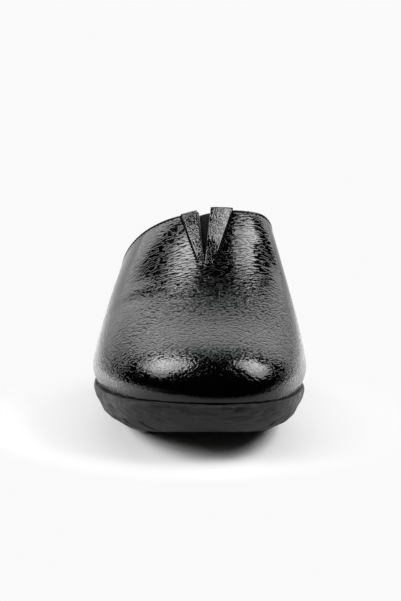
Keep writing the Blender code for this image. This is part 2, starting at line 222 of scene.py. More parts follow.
@dataclass
class Last:
    """The form that the shoe is built over, in the part's own sizes."""

    length: float = 0.258
    ball_width: float = 0.0985
    instep_height: float = 0.0992
    heel_height: float = 0.036
    gap: float = 0.0003
    belly: float = 0.0012
    tuck_height: float = 0.010
    toe_start: float = 0.045
    toe_corner: float = 0.014
    toe_fullness: float = 5.0
    fullness_blend: tuple[float, float] = (-0.35, 0.85)
    throat: float = 0.104
    collar_end: float = 0.196
    notch_x: float = 0.0029
    notch_share: float = 0.5
    notch_half_width: float = 0.0034
    small_angle: float = 1e-4
    small_length: float = 1e-5

    def __post_init__(self) -> None:
        """Fit the curves of the table's columns."""
        self.outline_x = self._section_curve("medial", "lateral", self.ball_width)
        self.feather_z = self._along_curve("feather", self.heel_height)
        self.wall_z = self._along_curve("wall", self.heel_height)
        self.tread_curve = self._along_curve("tread", self.heel_height)
        self.ridge_z = self._along_curve("ridge", self.instep_height)
        self.crown_x = self._along_curve("crown", self.ball_width)
        self.lateral_fullness = self._along_curve("lateral_fullness", 1.0)
        self.medial_fullness = self._along_curve("medial_fullness", 1.0)
        self.tuck_depth = self._along_curve("tuck", self.ball_width)
        throat_across = self.x_across(self.notch_x, np.array(self.throat))
        self.throat_back = float(self.collar_station(throat_across))

    def _section_curve(self, medial_column: str, lateral_column: str, size: float) -> ClosedCurve:
        """Lay a curve round the shoe through one column of the table on each side.

        Args:
            medial_column: Name of the medial side's column.
            lateral_column: Name of the lateral side's column.
            size: What a value of 1 in the table stands for.

        Returns:
            The curve.
        """
        angles = self.station_angle(np.array([row.station for row in SECTIONS]) * self.length)
        medial = np.array([getattr(row, medial_column) for row in SECTIONS]) * size
        lateral = np.array([getattr(row, lateral_column) for row in SECTIONS]) * size
        back = slice(-2, 0, -1)
        return ClosedCurve(np.append(angles, 2.0 * np.pi - angles[back]), np.append(medial, lateral[back]))

    def _along_curve(self, column: str, size: float) -> Callable[[np.ndarray], np.ndarray]:
        """Function of the station through one column of the table."""
        curve = self._section_curve(column, column, size)
        return lambda station: curve(self.station_angle(station))

    def station_angle(self, station: np.ndarray) -> np.ndarray:
        """Angle round the shoe, 0 at the toe and pi at the heel, of a station on the medial side."""
        share = np.clip(np.asarray(station, dtype=float) / self.length, 0.0, 1.0)
        return np.arccos(1.0 - 2.0 * share)

    def angle_station(self, angle: np.ndarray) -> np.ndarray:
        """Distance from the toe of a point of the outline."""
        return self.length / 2.0 * (1.0 - np.cos(angle))

    def tread_z(self, station: np.ndarray) -> np.ndarray:
        """Height of the underside, flat on the floor under the ball and the heel."""
        return np.maximum(0.0, self.tread_curve(station))

    def across_x(self, reach: np.ndarray, station: np.ndarray, belly: float) -> np.ndarray:
        """Go a share of the way from the crown to the sole's edge.

        Args:
            reach: Share of the way, negative on the lateral side.
            station: Distance from the toe.
            belly: How far the upper stands out past the sole's edge.

        Returns:
            X of the points.
        """
        crown = self.crown_x(station)
        angle = self.station_angle(station)
        lateral = self.outline_x(-angle) - belly
        medial = self.outline_x(angle) + belly
        return crown + np.where(reach < 0.0, reach * (crown - lateral), reach * (medial - crown))

    def x_across(self, x: np.ndarray, station: np.ndarray) -> np.ndarray:
        """Find the place across the upper of an X near the crown.

        Args:
            x: X of the points.
            station: Their distance from the toe.

        Returns:
            The places across, from -1 to 1.
        """
        crown = self.crown_x(station)
        angle = self.station_angle(station)
        lateral = crown - self.outline_x(-angle) + self.belly
        medial = self.outline_x(angle) + self.belly - crown
        return np.arcsin((x - crown) / np.where(x < crown, lateral, medial)) * 2.0 / np.pi

    def toe_bow(self, reach: np.ndarray) -> np.ndarray:
        """Measure how far the toe's edge stands in front of the line of its corners.

        Args:
            reach: Share of the way from the crown to the sole's edge.

        Returns:
            The distance as a share of toe_corner.
        """
        x = self.across_x(reach, np.full_like(reach, self.toe_corner), 0.0)
        corner = np.full_like(reach, float(self.station_angle(self.toe_corner)))
        angle = bisect(lambda value: self.outline_x(value) < x, -corner, corner)
        return 1.0 - self.angle_station(angle) / self.toe_corner

    def shell(self, across: np.ndarray, station: np.ndarray, toe: np.ndarray | float = 0.0) -> np.ndarray:
        """Points of the outside of the upper.

        Args:
            across: Place across, from -1 at the lateral edge of the sole to 1 at the medial one.
            station: Distance from the toe of a straight row behind toe_start.
            toe: 0 behind toe_start; from there the rows bow round the toe as it goes to 1.

        Returns:
            The points, with X, Y and Z on the last axis.
        """
        across, station, toe = np.broadcast_arrays(across, station, toe)
        reach = np.sin(across * np.pi / 2.0)
        forward = np.sin(toe * np.pi / 2.0)
        along = np.where(toe > 0.0, self.toe_start - (self.toe_start - self.toe_corner) * forward, station)
        x = self.across_x(reach, along, self.belly)
        if forward.any():
            along = along - self.toe_corner * forward**3 * self.toe_bow(reach)
        blend = ease(reach, *self.fullness_blend)
        fullness = self.lateral_fullness(along) * (1.0 - blend) + self.medial_fullness(along) * blend
        section = np.sqrt(np.maximum(0.0, 1.0 - np.abs(reach) ** fullness))
        nose = np.sqrt(np.maximum(0.0, 1.0 - forward**self.toe_fullness))
        height = (self.ridge_z(along) - self.feather_z(along)) * section * nose
        tuck = self.tuck_depth(along) * np.clip(1.0 - height / self.tuck_height, 0.0, 1.0) ** 2
        size = np.maximum(self.small_length, np.hypot(reach, forward))
        x = x - tuck * reach / size
        along = along + tuck * forward / size
        return np.stack([x, along - self.length / 2.0, self.feather_z(along) + height + self.gap], axis=-1)

    def normal(self, across: np.ndarray, station: np.ndarray, toe: np.ndarray | float = 0.0) -> np.ndarray:
        """Find the upper's outward directions.

        Args:
            across: Place across, as for shell.
            station: Distance from the toe, as for shell.
            toe: Place round the toe, as for shell.

        Returns:
            The directions, of length 1.
        """
        step = self.small_angle
        limit = 1.0 - 2.0 * step
        across, station, toe = np.broadcast_arrays(np.clip(across, -limit, limit), station, toe)
        bowed = np.where(toe > 0.0, np.clip(toe, 2.0 * step, limit), 0.0)
        sideways = self.shell(across + step, station, bowed) - self.shell(across - step, station, bowed)
        slide = self.small_length
        backward = self.shell(across, station + slide) - self.shell(across, station - slide)
        if bowed.any():
            round_toe = self.shell(across, station, np.maximum(bowed - step, step / 2.0))
            round_toe = round_toe - self.shell(across, station, bowed + step)
            backward = np.where(bowed[..., None] > 0.0, round_toe, backward)
        return unit(np.cross(sideways, backward))

    def collar_z(self, station: np.ndarray) -> np.ndarray:
        """Height of the collar, falling straight from the throat to the sole."""
        share = (station - self.throat) / (self.collar_end - self.throat)
        return self.instep_height + (self.feather_z(self.collar_end) - self.instep_height) * share

    def collar_station(self, across: np.ndarray) -> np.ndarray:
        """Find where the upper meets the collar's slope.

        Args:
            across: Places across the upper.

        Returns:
            The distance from the toe of each.
        """
        low = np.full_like(across, self.toe_start)
        high = np.full_like(across, self.collar_end)
        return bisect(lambda at: self.shell(across, at)[..., 2] - self.gap < self.collar_z(at), low, high)

    def collar_slide(self, across: np.ndarray, width: np.ndarray) -> np.ndarray:
        """Find how far in front of the collar a line lies that runs beside it.

        Args:
            across: Places across the upper.
            width: Distance between the line and the collar, square to the collar.

        Returns:
            The difference in station.
        """
        limit = 1.0 - 2.0 * self.small_angle
        across = np.clip(across, -limit, limit)
        collar = self.collar_station(across)
        ahead = self.shell(across, collar - self.small_length)
        step = (self.shell(across, collar) - ahead) / self.small_length
        left, right = across - self.small_angle, across + self.small_angle
        edge = self.shell(right, self.collar_station(right)) - self.shell(left, self.collar_station(left))
        square = np.linalg.norm(np.cross(step, unit(edge)), axis=-1)
        return width / square

    def throat_station(self, share: np.ndarray) -> np.ndarray:
        """Station on the throat's line at a share of the way from toe_start to the collar."""
        return self.toe_start + (self.throat_back - self.toe_start) * share

    def notch_half(self, share: np.ndarray) -> np.ndarray:
        """Half of the open width of the notch."""
        open_share = (share - self.notch_share) / (1.0 - self.notch_share)
        return self.notch_half_width * np.clip(open_share, 0.0, 1.0)

    def throat_edge(self, share: np.ndarray, side: Side, width: np.ndarray | float = 0.0) -> np.ndarray:
        """Place across the upper at a width beside the notch's edge on one side."""
        x = self.notch_x + side * (self.notch_half(share) + width)
        return self.x_across(x, self.throat_station(share))

    def ring(self, angles: np.ndarray, inset: float) -> np.ndarray:
        """Points of the sole's outline moved inwards.

        Args:
            angles: Angles round the shoe.
            inset: Distance from the outline.

        Returns:
            X, station, and the station of the outline's own point, on the first axis.
        """
        step = self.small_angle
        x_slope = self.outline_x(angles + step) - self.outline_x(angles - step)
        station_slope = self.angle_station(angles + step) - self.angle_station(angles - step)
        size = np.hypot(x_slope, station_slope)
        station = self.angle_station(angles)
        x = self.outline_x(angles) - inset * station_slope / size
        return np.stack([x, station + inset * x_slope / size, station])

    def row_frame(self, x: np.ndarray, station: np.ndarray, z: np.ndarray) -> np.ndarray:
        """Points in the part's frame."""
        return np.stack(np.broadcast_arrays(x, station - self.length / 2.0, z), axis=-1)


class Bench:
    """Modelling steps that every piece shares."""

    weld_distance = 2e-6
    grain_map = "grain"
    rim_steps = 6
    slab_sharp = 55.0

    @staticmethod
    def clear_selection() -> None:
        """Deselect everything."""
        bpy.ops.object.select_all(action="DESELECT")

    @classmethod
    def grid(cls, name: str, points: np.ndarray, material: bpy.types.Material,
             lengths: np.ndarray | None = None) -> bpy.types.Object:
        """Shape a grid primitive through rows of points.

        Args:
            name: Name of the new object.
            points: Rows and columns of points.
            material: Its material.
            lengths: Surface lengths of the points for the grain, measured here if left out.

        Returns:
            The new object.
        """
        rows, columns = points.shape[:2]
        cls.clear_selection()
        bpy.ops.mesh.primitive_grid_add(x_subdivisions=columns - 1, y_subdivisions=rows - 1, size=1.0)
        made = bpy.context.object
        made.name = name
        made.data.name = name
        made.data.vertices.foreach_set("co", np.ascontiguousarray(points, dtype=np.float32).ravel())
        made.data.materials.append(material)
        measured = surface_lengths(points) if lengths is None else lengths
        corners = np.empty(len(made.data.loops), dtype=np.int32)
        made.data.loops.foreach_get("vertex_index", corners)
        layer = made.data.uv_layers[0]
        layer.name = cls.grain_map
        layer.data.foreach_set("uv", measured.reshape(-1, 2)[corners].astype(np.float32).ravel())
        made.data.update()
        return made

    @classmethod
    def join(cls, name: str, parts: Sequence[bpy.types.Object], sharp: float) -> bpy.types.Object:
        """Join grids that share edges into one closed piece.

        Args:
            name: Name of the piece.
            parts: The grids.
            sharp: Angle in degrees above which an edge stays sharp.

        Returns:
            The piece, welded, facing outwards and shaded.
        """
        cls.clear_selection()
        for part in parts:
            part.select_set(True)
        made = parts[0]
        bpy.context.view_layer.objects.active = made
        if len(parts) > 1:
            bpy.ops.object.join()
        made.name = name
        made.data.name = name
        bpy.ops.object.mode_set(mode="EDIT")
        bpy.ops.mesh.select_all(action="SELECT")
        bpy.ops.mesh.remove_doubles(threshold=cls.weld_distance)
        bpy.ops.mesh.dissolve_degenerate(threshold=cls.weld_distance)
        bpy.ops.mesh.select_all(action="SELECT")
        bpy.ops.mesh.normals_make_consistent(inside=False)
        bpy.ops.object.mode_set(mode="OBJECT")
        bpy.ops.object.shade_smooth_by_angle(angle=math.radians(sharp))
        return made

    @classmethod
    def rim(cls, outer: np.ndarray, inner: np.ndarray, outward: np.ndarray, bulge: np.ndarray) -> np.ndarray:
        """Rows of points that round an edge from the outer face to the inner one.

        Args:
            outer: Points along the outer face's edge.
            inner: Points along the inner face's edge.
            outward: Directions out of the faces at those points.
            bulge: Share of a half round that the edge stands out.

        Returns:
            Rows from the outer edge to the inner one.
        """
        middle = (outer + inner) / 2.0
        half = (outer - inner) / 2.0
        size = np.linalg.norm(half, axis=-1, keepdims=True)
        rows = []
        for angle in np.linspace(0.0, np.pi, cls.rim_steps + 1):
            rows.append(middle + half * math.cos(angle) + outward * size * bulge[:, None] * math.sin(angle))
        rows[0], rows[-1] = outer, inner
        return np.stack(rows)

    @classmethod
    def slab(cls, name: str, outer: np.ndarray, inner: np.ndarray, bulge: float,
             material: bpy.types.Material) -> bpy.types.Object:
        """Make a thin closed piece with rounded edges between two like sheets of points.

        Args:
            name: Name of the piece.
            outer: Rows and columns of its outer face.
            inner: Rows and columns of its inner face.
            bulge: Share of a half round that its edges stand out.
            material: Its material.

        Returns:
            The piece.
        """
        rows, columns = outer.shape[:2]
        path = [(r, 0) for r in range(rows)] + [(rows - 1, c) for c in range(1, columns)]
        path += [(r, columns - 1) for r in range(rows - 2, -1, -1)]
        path += [(0, c) for c in range(columns - 2, -1, -1)]
        at = tuple(np.array(path).T)
        padded = np.pad(outer, ((1, 1), (1, 1), (0, 0)), mode="reflect", reflect_type="odd")
        out_row = unit(padded[2:, 1:-1] - padded[:-2, 1:-1])
        out_column = unit(padded[1:-1, 2:] - padded[1:-1, :-2])
        row_sign = (np.arange(rows) == rows - 1).astype(float) - (np.arange(rows) == 0)
        column_sign = (np.arange(columns) == columns - 1).astype(float) - (np.arange(columns) == 0)
        outward = unit(out_row * row_sign[:, None, None] + out_column * column_sign[None, :, None])
        edge = cls.rim(outer[at], inner[at], outward[at], np.full(len(path), bulge))
        faces = (("outer", outer), ("inner", inner), ("rim", edge))
        grids = [cls.grid(f"{name}_{part}", points, material) for part, points in faces]
        return cls.join(name, grids, cls.slab_sharp)

    @classmethod
    def wrap(cls, name: str, loops: np.ndarray, sharp: float,
             material: bpy.types.Material) -> bpy.types.Object:
        """Make a solid from closed sections along the shoe.

        Args:
            name: Name of the piece.
            loops: Sections from the toe to the heel, each a closed row of points.
            sharp: Angle in degrees above which an edge stays sharp.
            material: Its material.

        Returns:
            The piece.
        """
        closed = np.concatenate([loops, loops[:, :1]], axis=1)
        return cls.join(name, [cls.grid(name, closed, material)], sharp)

    @staticmethod
    def settle(piece: bpy.types.Object, slot: Slot, *nodes: str) -> None:
        """Let a piece ride on the shoe, stand for its nodes and log its triangles and slot.

        Args:
            piece: The finished piece.
            slot: Its material slot.
            nodes: Names of the part's nodes that it stands for.
        """
        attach(piece, BODY)
        if nodes:
            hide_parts(*nodes)
        faces = sum(len(polygon.vertices) - 2 for polygon in piece.data.polygons)
        stands_for = ", ".join(nodes) or "none"
        LOG.info("%s: %d triangles, slot %s, stands for %s", piece.name, faces, slot.value, stands_for)


class Field:
    """A number that varies over a surface, with Python's operators."""

    def __init__(self, sheet: "NodeSheet", socket: bpy.types.NodeSocket) -> None:
        """Wrap an output socket of a sheet of nodes."""
        self.sheet = sheet
        self.socket = socket

    def __add__(self, other: "Field | float") -> "Field":
        """Sum."""
        return self.sheet.math("ADD", self, other)

    def __sub__(self, other: "Field | float") -> "Field":
        """Difference."""
        return self.sheet.math("SUBTRACT", self, other)

    def __rsub__(self, other: float) -> "Field":
        """Difference from a number."""
        return self.sheet.math("SUBTRACT", other, self)

    def __mul__(self, other: "Field | float") -> "Field":
        """Product."""
        return self.sheet.math("MULTIPLY", self, other)

    def __truediv__(self, other: "Field | float") -> "Field":
        """Quotient."""
        return self.sheet.math("DIVIDE", self, other)

    def __pow__(self, other: float) -> "Field":
        """Power."""
        return self.sheet.math("POWER", self, other)

    __radd__ = __add__
    __rmul__ = __mul__

    def step(self, low: float, high: float) -> "Field":
        """Smooth step from 0 at low to 1 at high."""
        made = self.sheet.node("ShaderNodeMapRange", {"interpolation_type": "SMOOTHSTEP"},
                               {"Value": self, "From Min": low, "From Max": high})
        return Field(self.sheet, made.outputs["Result"])

    def span(self, low: float, high: float) -> "Field":
        """Straight line from low where the field is 0 to high where it is 1."""
        return self * (high - low) + low


class NodeSheet:
    """A sheet of shader nodes."""

    def __init__(self, tree: bpy.types.NodeTree) -> None:
        """Start with an empty sheet."""
        self.tree = tree
        tree.nodes.clear()

    def node(self, kind: str, settings: dict | None = None, sockets: dict | None = None) -> bpy.types.Node:
        """Add a node.

        Args:
            kind: The node's type.
            settings: Its settings, set before its sockets.
            sockets: Values or links of its input sockets, by name or number.

        Returns:
            The node.
        """
        made = self.tree.nodes.new(kind)
        for name, value in (settings or {}).items():
            setattr(made, name, value)
        for key, value in (sockets or {}).items():
            self.plug(made.inputs[key], value)
        return made

    def plug(self, socket: bpy.types.NodeSocket,
             value: "Field | bpy.types.NodeSocket | float | tuple") -> None:
        """Link a socket to a field or another socket, or set its value."""
        if isinstance(value, Field):
            self.tree.links.new(value.socket, socket)
        elif isinstance(value, bpy.types.NodeSocket):
            self.tree.links.new(value, socket)
        else:
            socket.default_value = value

    def math(self, operation: str, *values: "Field | float") -> Field:
        """Result of a Math node."""
        made = self.node("ShaderNodeMath", {"operation": operation}, dict(enumerate(values)))
        return Field(self, made.outputs[0])

    def place(self) -> bpy.types.NodeSocket:
        """Object coordinates."""
        return self.node("ShaderNodeTexCoord").outputs["Object"]

    def axes(self, place: bpy.types.NodeSocket) -> tuple[Field, Field, Field]:
        """X, Y and Z of a vector."""
        made = self.node("ShaderNodeSeparateXYZ", None, {0: place})
        return Field(self, made.outputs[0]), Field(self, made.outputs[1]), Field(self, made.outputs[2])

    def noise(self, place: bpy.types.NodeSocket, size: float, detail: float,
              rough: float = 0.5) -> Field:
        """Soft noise with spots about size across."""
        made = self.node("ShaderNodeTexNoise", None,
                         {"Vector": place, "Scale": 1.0 / size, "Detail": detail, "Roughness": rough})
        return Field(self, made.outputs["Fac"])

    def warp(self, place: bpy.types.NodeSocket, size: float, reach: float) -> bpy.types.NodeSocket:
        """Push coordinates about by noise.

        Args:
            place: The coordinates.
            size: Size of the noise's spots.
            reach: Greatest push.

        Returns:
            The new coordinates.
        """
        push = self.node("ShaderNodeTexNoise", None, {"Vector": place, "Scale": 1.0 / size, "Detail": 1.0})
        moved = self.node("ShaderNodeVectorMath", {"operation": "MULTIPLY_ADD"},
                          {0: push.outputs["Color"], 1: (reach, reach, reach), 2: place})
        return moved.outputs[0]

    def grain(self, stretch: float) -> bpy.types.NodeSocket:
        """Take the leather's surface lengths, drawn out across the shoe.

        Args:
            stretch: How many times longer a spot is across the shoe than along it.

        Returns:
            The coordinates.
        """
        made = self.node("ShaderNodeUVMap", {"uv_map": Bench.grain_map})
        scaled = self.node("ShaderNodeVectorMath", {"operation": "MULTIPLY"},
                           {0: made.outputs[0], 1: (1.0 / stretch, 1.0, 1.0)})
        return scaled.outputs[0]

    def folds(self, place: bpy.types.NodeSocket, size: float) -> Field:
        """Soft ridges about size apart."""
        return 1.0 - self.math("ABSOLUTE", self.noise(place, size, 1.0) * 2.0 - 1.0)

    def pebbles(self, place: bpy.types.NodeSocket, size: float, smoothness: float) -> Field:
        """Distance from the nearest pebble's middle, in pebble sizes."""
        made = self.node("ShaderNodeTexVoronoi", {"voronoi_dimensions": "3D", "feature": "SMOOTH_F1"},
                         {"Vector": place, "Scale": 1.0 / size, "Smoothness": smoothness, "Randomness": 1.0})
        return Field(self, made.outputs["Distance"])

    def blend(self, factor: Field, low: tuple, high: tuple) -> bpy.types.NodeSocket:
        """Mix two colours.

        Args:
            factor: 0 for the first colour and 1 for the second.
            low: First colour.
            high: Second colour.

        Returns:
            The mixed colour.
        """
        made = self.node("ShaderNodeMix", {"data_type": "RGBA"}, {"Factor": factor})
        self.plug(made.inputs[6], (*low, 1.0))
        self.plug(made.inputs[7], (*high, 1.0))
        return made.outputs[2]

    def bump(self, height: Field, distance: float) -> bpy.types.NodeSocket:
        """Normal of a relief: height 1 stands distance high."""
        made = self.node("ShaderNodeBump", None, {"Strength": 1.0, "Distance": distance, "Height": height})
        return made.outputs["Normal"]

    def surface(self, sockets: dict) -> None:
        """Finish the sheet with a Principled shader."""
        shader = self.node("ShaderNodeBsdfPrincipled", None, sockets)
        self.node("ShaderNodeOutputMaterial", None, {"Surface": shader.outputs[0]})


def new_material(name: str) -> tuple[bpy.types.Material, NodeSheet]:
    """Start a material.

    Args:
        name: Name of the material.

    Returns:
        The material and its empty sheet of nodes.
    """
    made = bpy.data.materials.new(name)
    made.use_nodes = True
    return made, NodeSheet(made.node_tree)


@dataclass(frozen=True)
class PatentFinish:
    """Black patent leather: a clear gloss over folded grain.

    The grain is drawn out across the foot on the instep, rounder on the vamp, calm on the front of the toe
    and stronger low on the sides. Each span gives two places between which one sort turns into the other.
    """

    name: str = "patent_leather"
    dark: tuple[float, float, float] = (0.0003, 0.0003, 0.0003)
    light: tuple[float, float, float] = (0.0008, 0.0008, 0.0008)
    roughness: tuple[float, float] = (0.055, 0.105)
    smudge: float = 0.012
    instep_fold: float = 0.0020
    vamp_fold: float = 0.0018
    instep_stretch: float = 2.05
    vamp_stretch: float = 1.15
    warp_size: float = 0.0035
    instep_warp: float = 0.0010
    vamp_warp: float = 0.0014
    relief: float = 0.00018
    instep_swell: float = 0.37
    instep_line: float = 0.12
    vamp_swell: float = 0.90
    vamp_line: float = 0.20
    line_start: float = 0.90
    instep_span: tuple[float, float] = (0.052, 0.078)
    toe_calm: float = 0.72
    toe_span: tuple[float, float] = (-0.100, -0.119)
    toe_half_span: tuple[float, float] = (0.026, 0.042)
    low_boost: float = 1.2
    low_span: tuple[float, float] = (0.038, 0.028)

    def fold_relief(self, folds: Field, swell: float, line: float) -> Field:
        """Height of the grain: a soft swell with a thin line along the top of each fold."""
        return folds * swell + folds.step(self.line_start, 1.0) * line

    def material(self) -> bpy.types.Material:
        """Make the material.

        Returns:
            The material.
        """
        made, sheet = new_material(self.name)
        place = sheet.place()
        x, y, z = sheet.axes(place)
        arched = sheet.warp(sheet.grain(self.instep_stretch), self.warp_size, self.instep_warp)
        drawn = sheet.warp(sheet.grain(self.vamp_stretch), self.warp_size, self.vamp_warp)
        coarse = self.fold_relief(sheet.folds(arched, self.instep_fold), self.instep_swell, self.instep_line)
        fine = self.fold_relief(sheet.folds(drawn, self.vamp_fold), self.vamp_swell, self.vamp_line)
        instep = z.step(*self.instep_span)
        toe_front = y.step(*self.toe_span) * (1.0 - (x * x).step(*np.square(self.toe_half_span)))
        low_side = z.step(*self.low_span) * (1.0 - toe_front)
        share = low_side * self.low_boost + 1.0 - toe_front * self.toe_calm
        relief = coarse * instep + fine * share * (1.0 - instep)
        smudge = sheet.noise(place, self.smudge, 3.0)
        sheet.surface({
            "Base Color": sheet.blend(smudge, self.dark, self.light),
            "Roughness": smudge.span(*self.roughness),
            "IOR": 1.5,
            "Normal": sheet.bump(relief, self.relief),
        })
        return made


@dataclass(frozen=True)
class LiningFinish:
    """Black microfibre lining with a short nap."""

    name: str = "lining"
    dark: tuple[float, float, float] = (0.012, 0.012, 0.013)
    light: tuple[float, float, float] = (0.026, 0.026, 0.028)
    roughness: tuple[float, float] = (0.80, 0.95)
    nap: float = 0.0009
    relief: float = 0.00025

    def material(self) -> bpy.types.Material:
        """Make the material.

        Returns:
            The material.
        """
        made, sheet = new_material(self.name)
        place = sheet.place()
        nap = sheet.noise(place, self.nap, 4.0, 0.65)
        sheet.surface({
            "Base Color": sheet.blend(nap.step(0.3, 0.7), self.dark, self.light),
            "Roughness": nap.span(*self.roughness),
            "Specular IOR Level": 0.25,
            "Sheen Weight": 0.15,
            "Normal": sheet.bump(nap, self.relief),
        })
        return made


@dataclass(frozen=True)
class ElasticFinish:
    """Black elastic webbing with fine ribs along the foot."""

    name: str = "elastic"
    dark: tuple[float, float, float] = (0.0035, 0.0035, 0.0037)
    light: tuple[float, float, float] = (0.0075, 0.0075, 0.0080)
    roughness: tuple[float, float] = (0.75, 0.95)
    rib: float = 0.0008
    fuzz: float = 0.0006
    relief: float = 0.00012

    def material(self) -> bpy.types.Material:
        """Make the material.

        Returns:
            The material.
        """
        made, sheet = new_material(self.name)
        place = sheet.place()
        across, along, _ = sheet.axes(place)
        ribs = sheet.math("SINE", across * (2.0 * math.pi / self.rib)) * 0.5 + 0.5
        weft = sheet.math("SINE", along * (4.0 * math.pi / self.rib)) * 0.15
        fuzz = sheet.noise(place, self.fuzz, 3.0)
        height = ribs + weft + fuzz * 0.4
        sheet.surface({
            "Base Color": sheet.blend(height.step(0.1, 1.2), self.dark, self.light),
            "Roughness": fuzz.span(*self.roughness),
            "Specular IOR Level": 0.12,
            "Normal": sheet.bump(height, self.relief),
        })
        return made


@dataclass(frozen=True)
class FootbedFinish:
    """Dark suede footbed whose smoothness varies in soft clouds."""

    name: str = "footbed"
    dark: tuple[float, float, float] = (0.014, 0.014, 0.015)
    light: tuple[float, float, float] = (0.034, 0.034, 0.036)
    roughness: tuple[float, float] = (0.75, 0.95)
    nap: float = 0.0007
    cloud: float = 0.018
    relief: float = 0.0003

    def material(self) -> bpy.types.Material:
        """Make the material.

        Returns:
            The material.
        """
        made, sheet = new_material(self.name)
        place = sheet.place()
        nap = sheet.noise(place, self.nap, 5.0, 0.7)
        cloud = sheet.noise(place, self.cloud, 3.0)
        sheet.surface({
            "Base Color": sheet.blend((nap * 0.6 + cloud * 0.4).step(0.32, 0.68), self.dark, self.light),
            "Roughness": cloud.span(*self.roughness),
            "Specular IOR Level": 0.25,
            "Sheen Weight": 0.2,
            "Normal": sheet.bump(nap, self.relief),
        })
        return made


@dataclass(frozen=True)
class FoamFinish:
    """Moulded dark grey sole foam with a dull skin and faint long blotches along its side."""

    name: str = "foam"
    dark: tuple[float, float, float] = (0.0015, 0.0015, 0.0016)
    light: tuple[float, float, float] = (0.0200, 0.0200, 0.0215)
    roughness: tuple[float, float] = (0.32, 0.67)
    blotch: float = 0.0050
    blotch_stretch: float = 2.5
    skin: float = 0.0010
    cloud: float = 0.02
    relief: float = 0.0042

    def material(self) -> bpy.types.Material:
        """Make the material.

        Returns:
            The material.
        """
        made, sheet = new_material(self.name)
        place = sheet.place()
        level = 1.0 / self.blotch_stretch
        flow = sheet.node("ShaderNodeMapping", None, {"Vector": place, "Scale": (level, level, 1.0)})
        blotches = sheet.noise(flow.outputs[0], self.blotch, 1.5, 0.6)
        skin = sheet.noise(place, self.skin, 4.0, 0.6)
        cloud = sheet.noise(place, self.cloud, 3.0)
        tone = blotches * 0.5 + skin * 0.2 + cloud * 0.3
        sheet.surface({
            "Base Color": sheet.blend(tone.step(0.34, 0.66), self.dark, self.light),
            "Roughness": tone.step(0.35, 0.65).span(*self.roughness),
            "Specular IOR Level": 0.37,
            "Normal": sheet.bump(skin * 0.15 + blotches * 1.2, self.relief),
        })
        return made


@dataclass(frozen=True)
class RubberFinish:
    """Black tread rubber with a gritty, cloudy tone and a fine pebbled relief."""

    name: str = "tread"
    dark: tuple[float, float, float] = (0.004, 0.004, 0.0043)
    light: tuple[float, float, float] = (0.011, 0.011, 0.012)
    roughness: tuple[float, float] = (0.55, 0.75)
    grit: float = 0.0008
    cloud: float = 0.014
    pebble: float = 0.0016
    relief: float = 0.00018

    def material(self) -> bpy.types.Material:
        """Make the material.

        Returns:
            The material.
        """
        made, sheet = new_material(self.name)
        place = sheet.place()
        grit = sheet.noise(place, self.grit, 4.0, 0.65)
        cloud = sheet.noise(place, self.cloud, 3.0)
        pebble = sheet.pebbles(place, self.pebble, 0.3)
        sheet.surface({
            "Base Color": sheet.blend((grit * 0.4 + cloud * 0.6).step(0.36, 0.64), self.dark, self.light),
            "Roughness": grit.span(*self.roughness),
            "Normal": sheet.bump(grit * 0.5 - pebble * 0.6, self.relief),
        })
        return made


@dataclass(frozen=True)
class ThreadFinish:
    """Black waxed thread with a visible twist."""

    name: str = "thread"
    dark: tuple[float, float, float] = (0.0015, 0.0015, 0.0015)
    light: tuple[float, float, float] = (0.0050, 0.0050, 0.0055)
    roughness: tuple[float, float] = (0.85, 0.95)
    twist: float = 0.0005
    relief: float = 0.00006

    def material(self) -> bpy.types.Material:
        """Make the material.

        Returns:
            The material.
        """
        made, sheet = new_material(self.name)
        x, y, z = sheet.axes(sheet.place())
        strands = sheet.math("SINE", (x + y + z) * (2.0 * math.pi / self.twist)) * 0.5 + 0.5
        sheet.surface({
            "Base Color": sheet.blend(strands, self.dark, self.light),
            "Roughness": strands.span(*self.roughness),
            "Specular IOR Level": 0.1,
            "Normal": sheet.bump(strands, self.relief),
        })
        return made


class Crease(NamedTuple):
    """A soft trough across the upper, or a ridge where its depth is negative.

    It runs from one X to another along a parabola: y_from and y_to at its ends and y_middle half way.
    depth is how far it sinks, width its half width along the shoe and fade the share of its length that
    each end takes to die away.
    """

    x_from: float
    x_to: float
    y_from: float
    y_middle: float
    y_to: float
    depth: float
    width: float
    fade: float = 0.35


CREASES = (
    Crease(-0.056, -0.002, -0.034, -0.050, -0.058, 0.00140, 0.0220, 0.50),
    Crease(-0.047, -0.010, -0.040, -0.0585, -0.067, 0.00008, 0.0045),
    Crease(-0.047, -0.012, -0.031, -0.0505, -0.059, -0.00020, 0.0045),
    Crease(0.018, 0.046, -0.036, -0.042, -0.056, 0.00018, 0.0055),
)


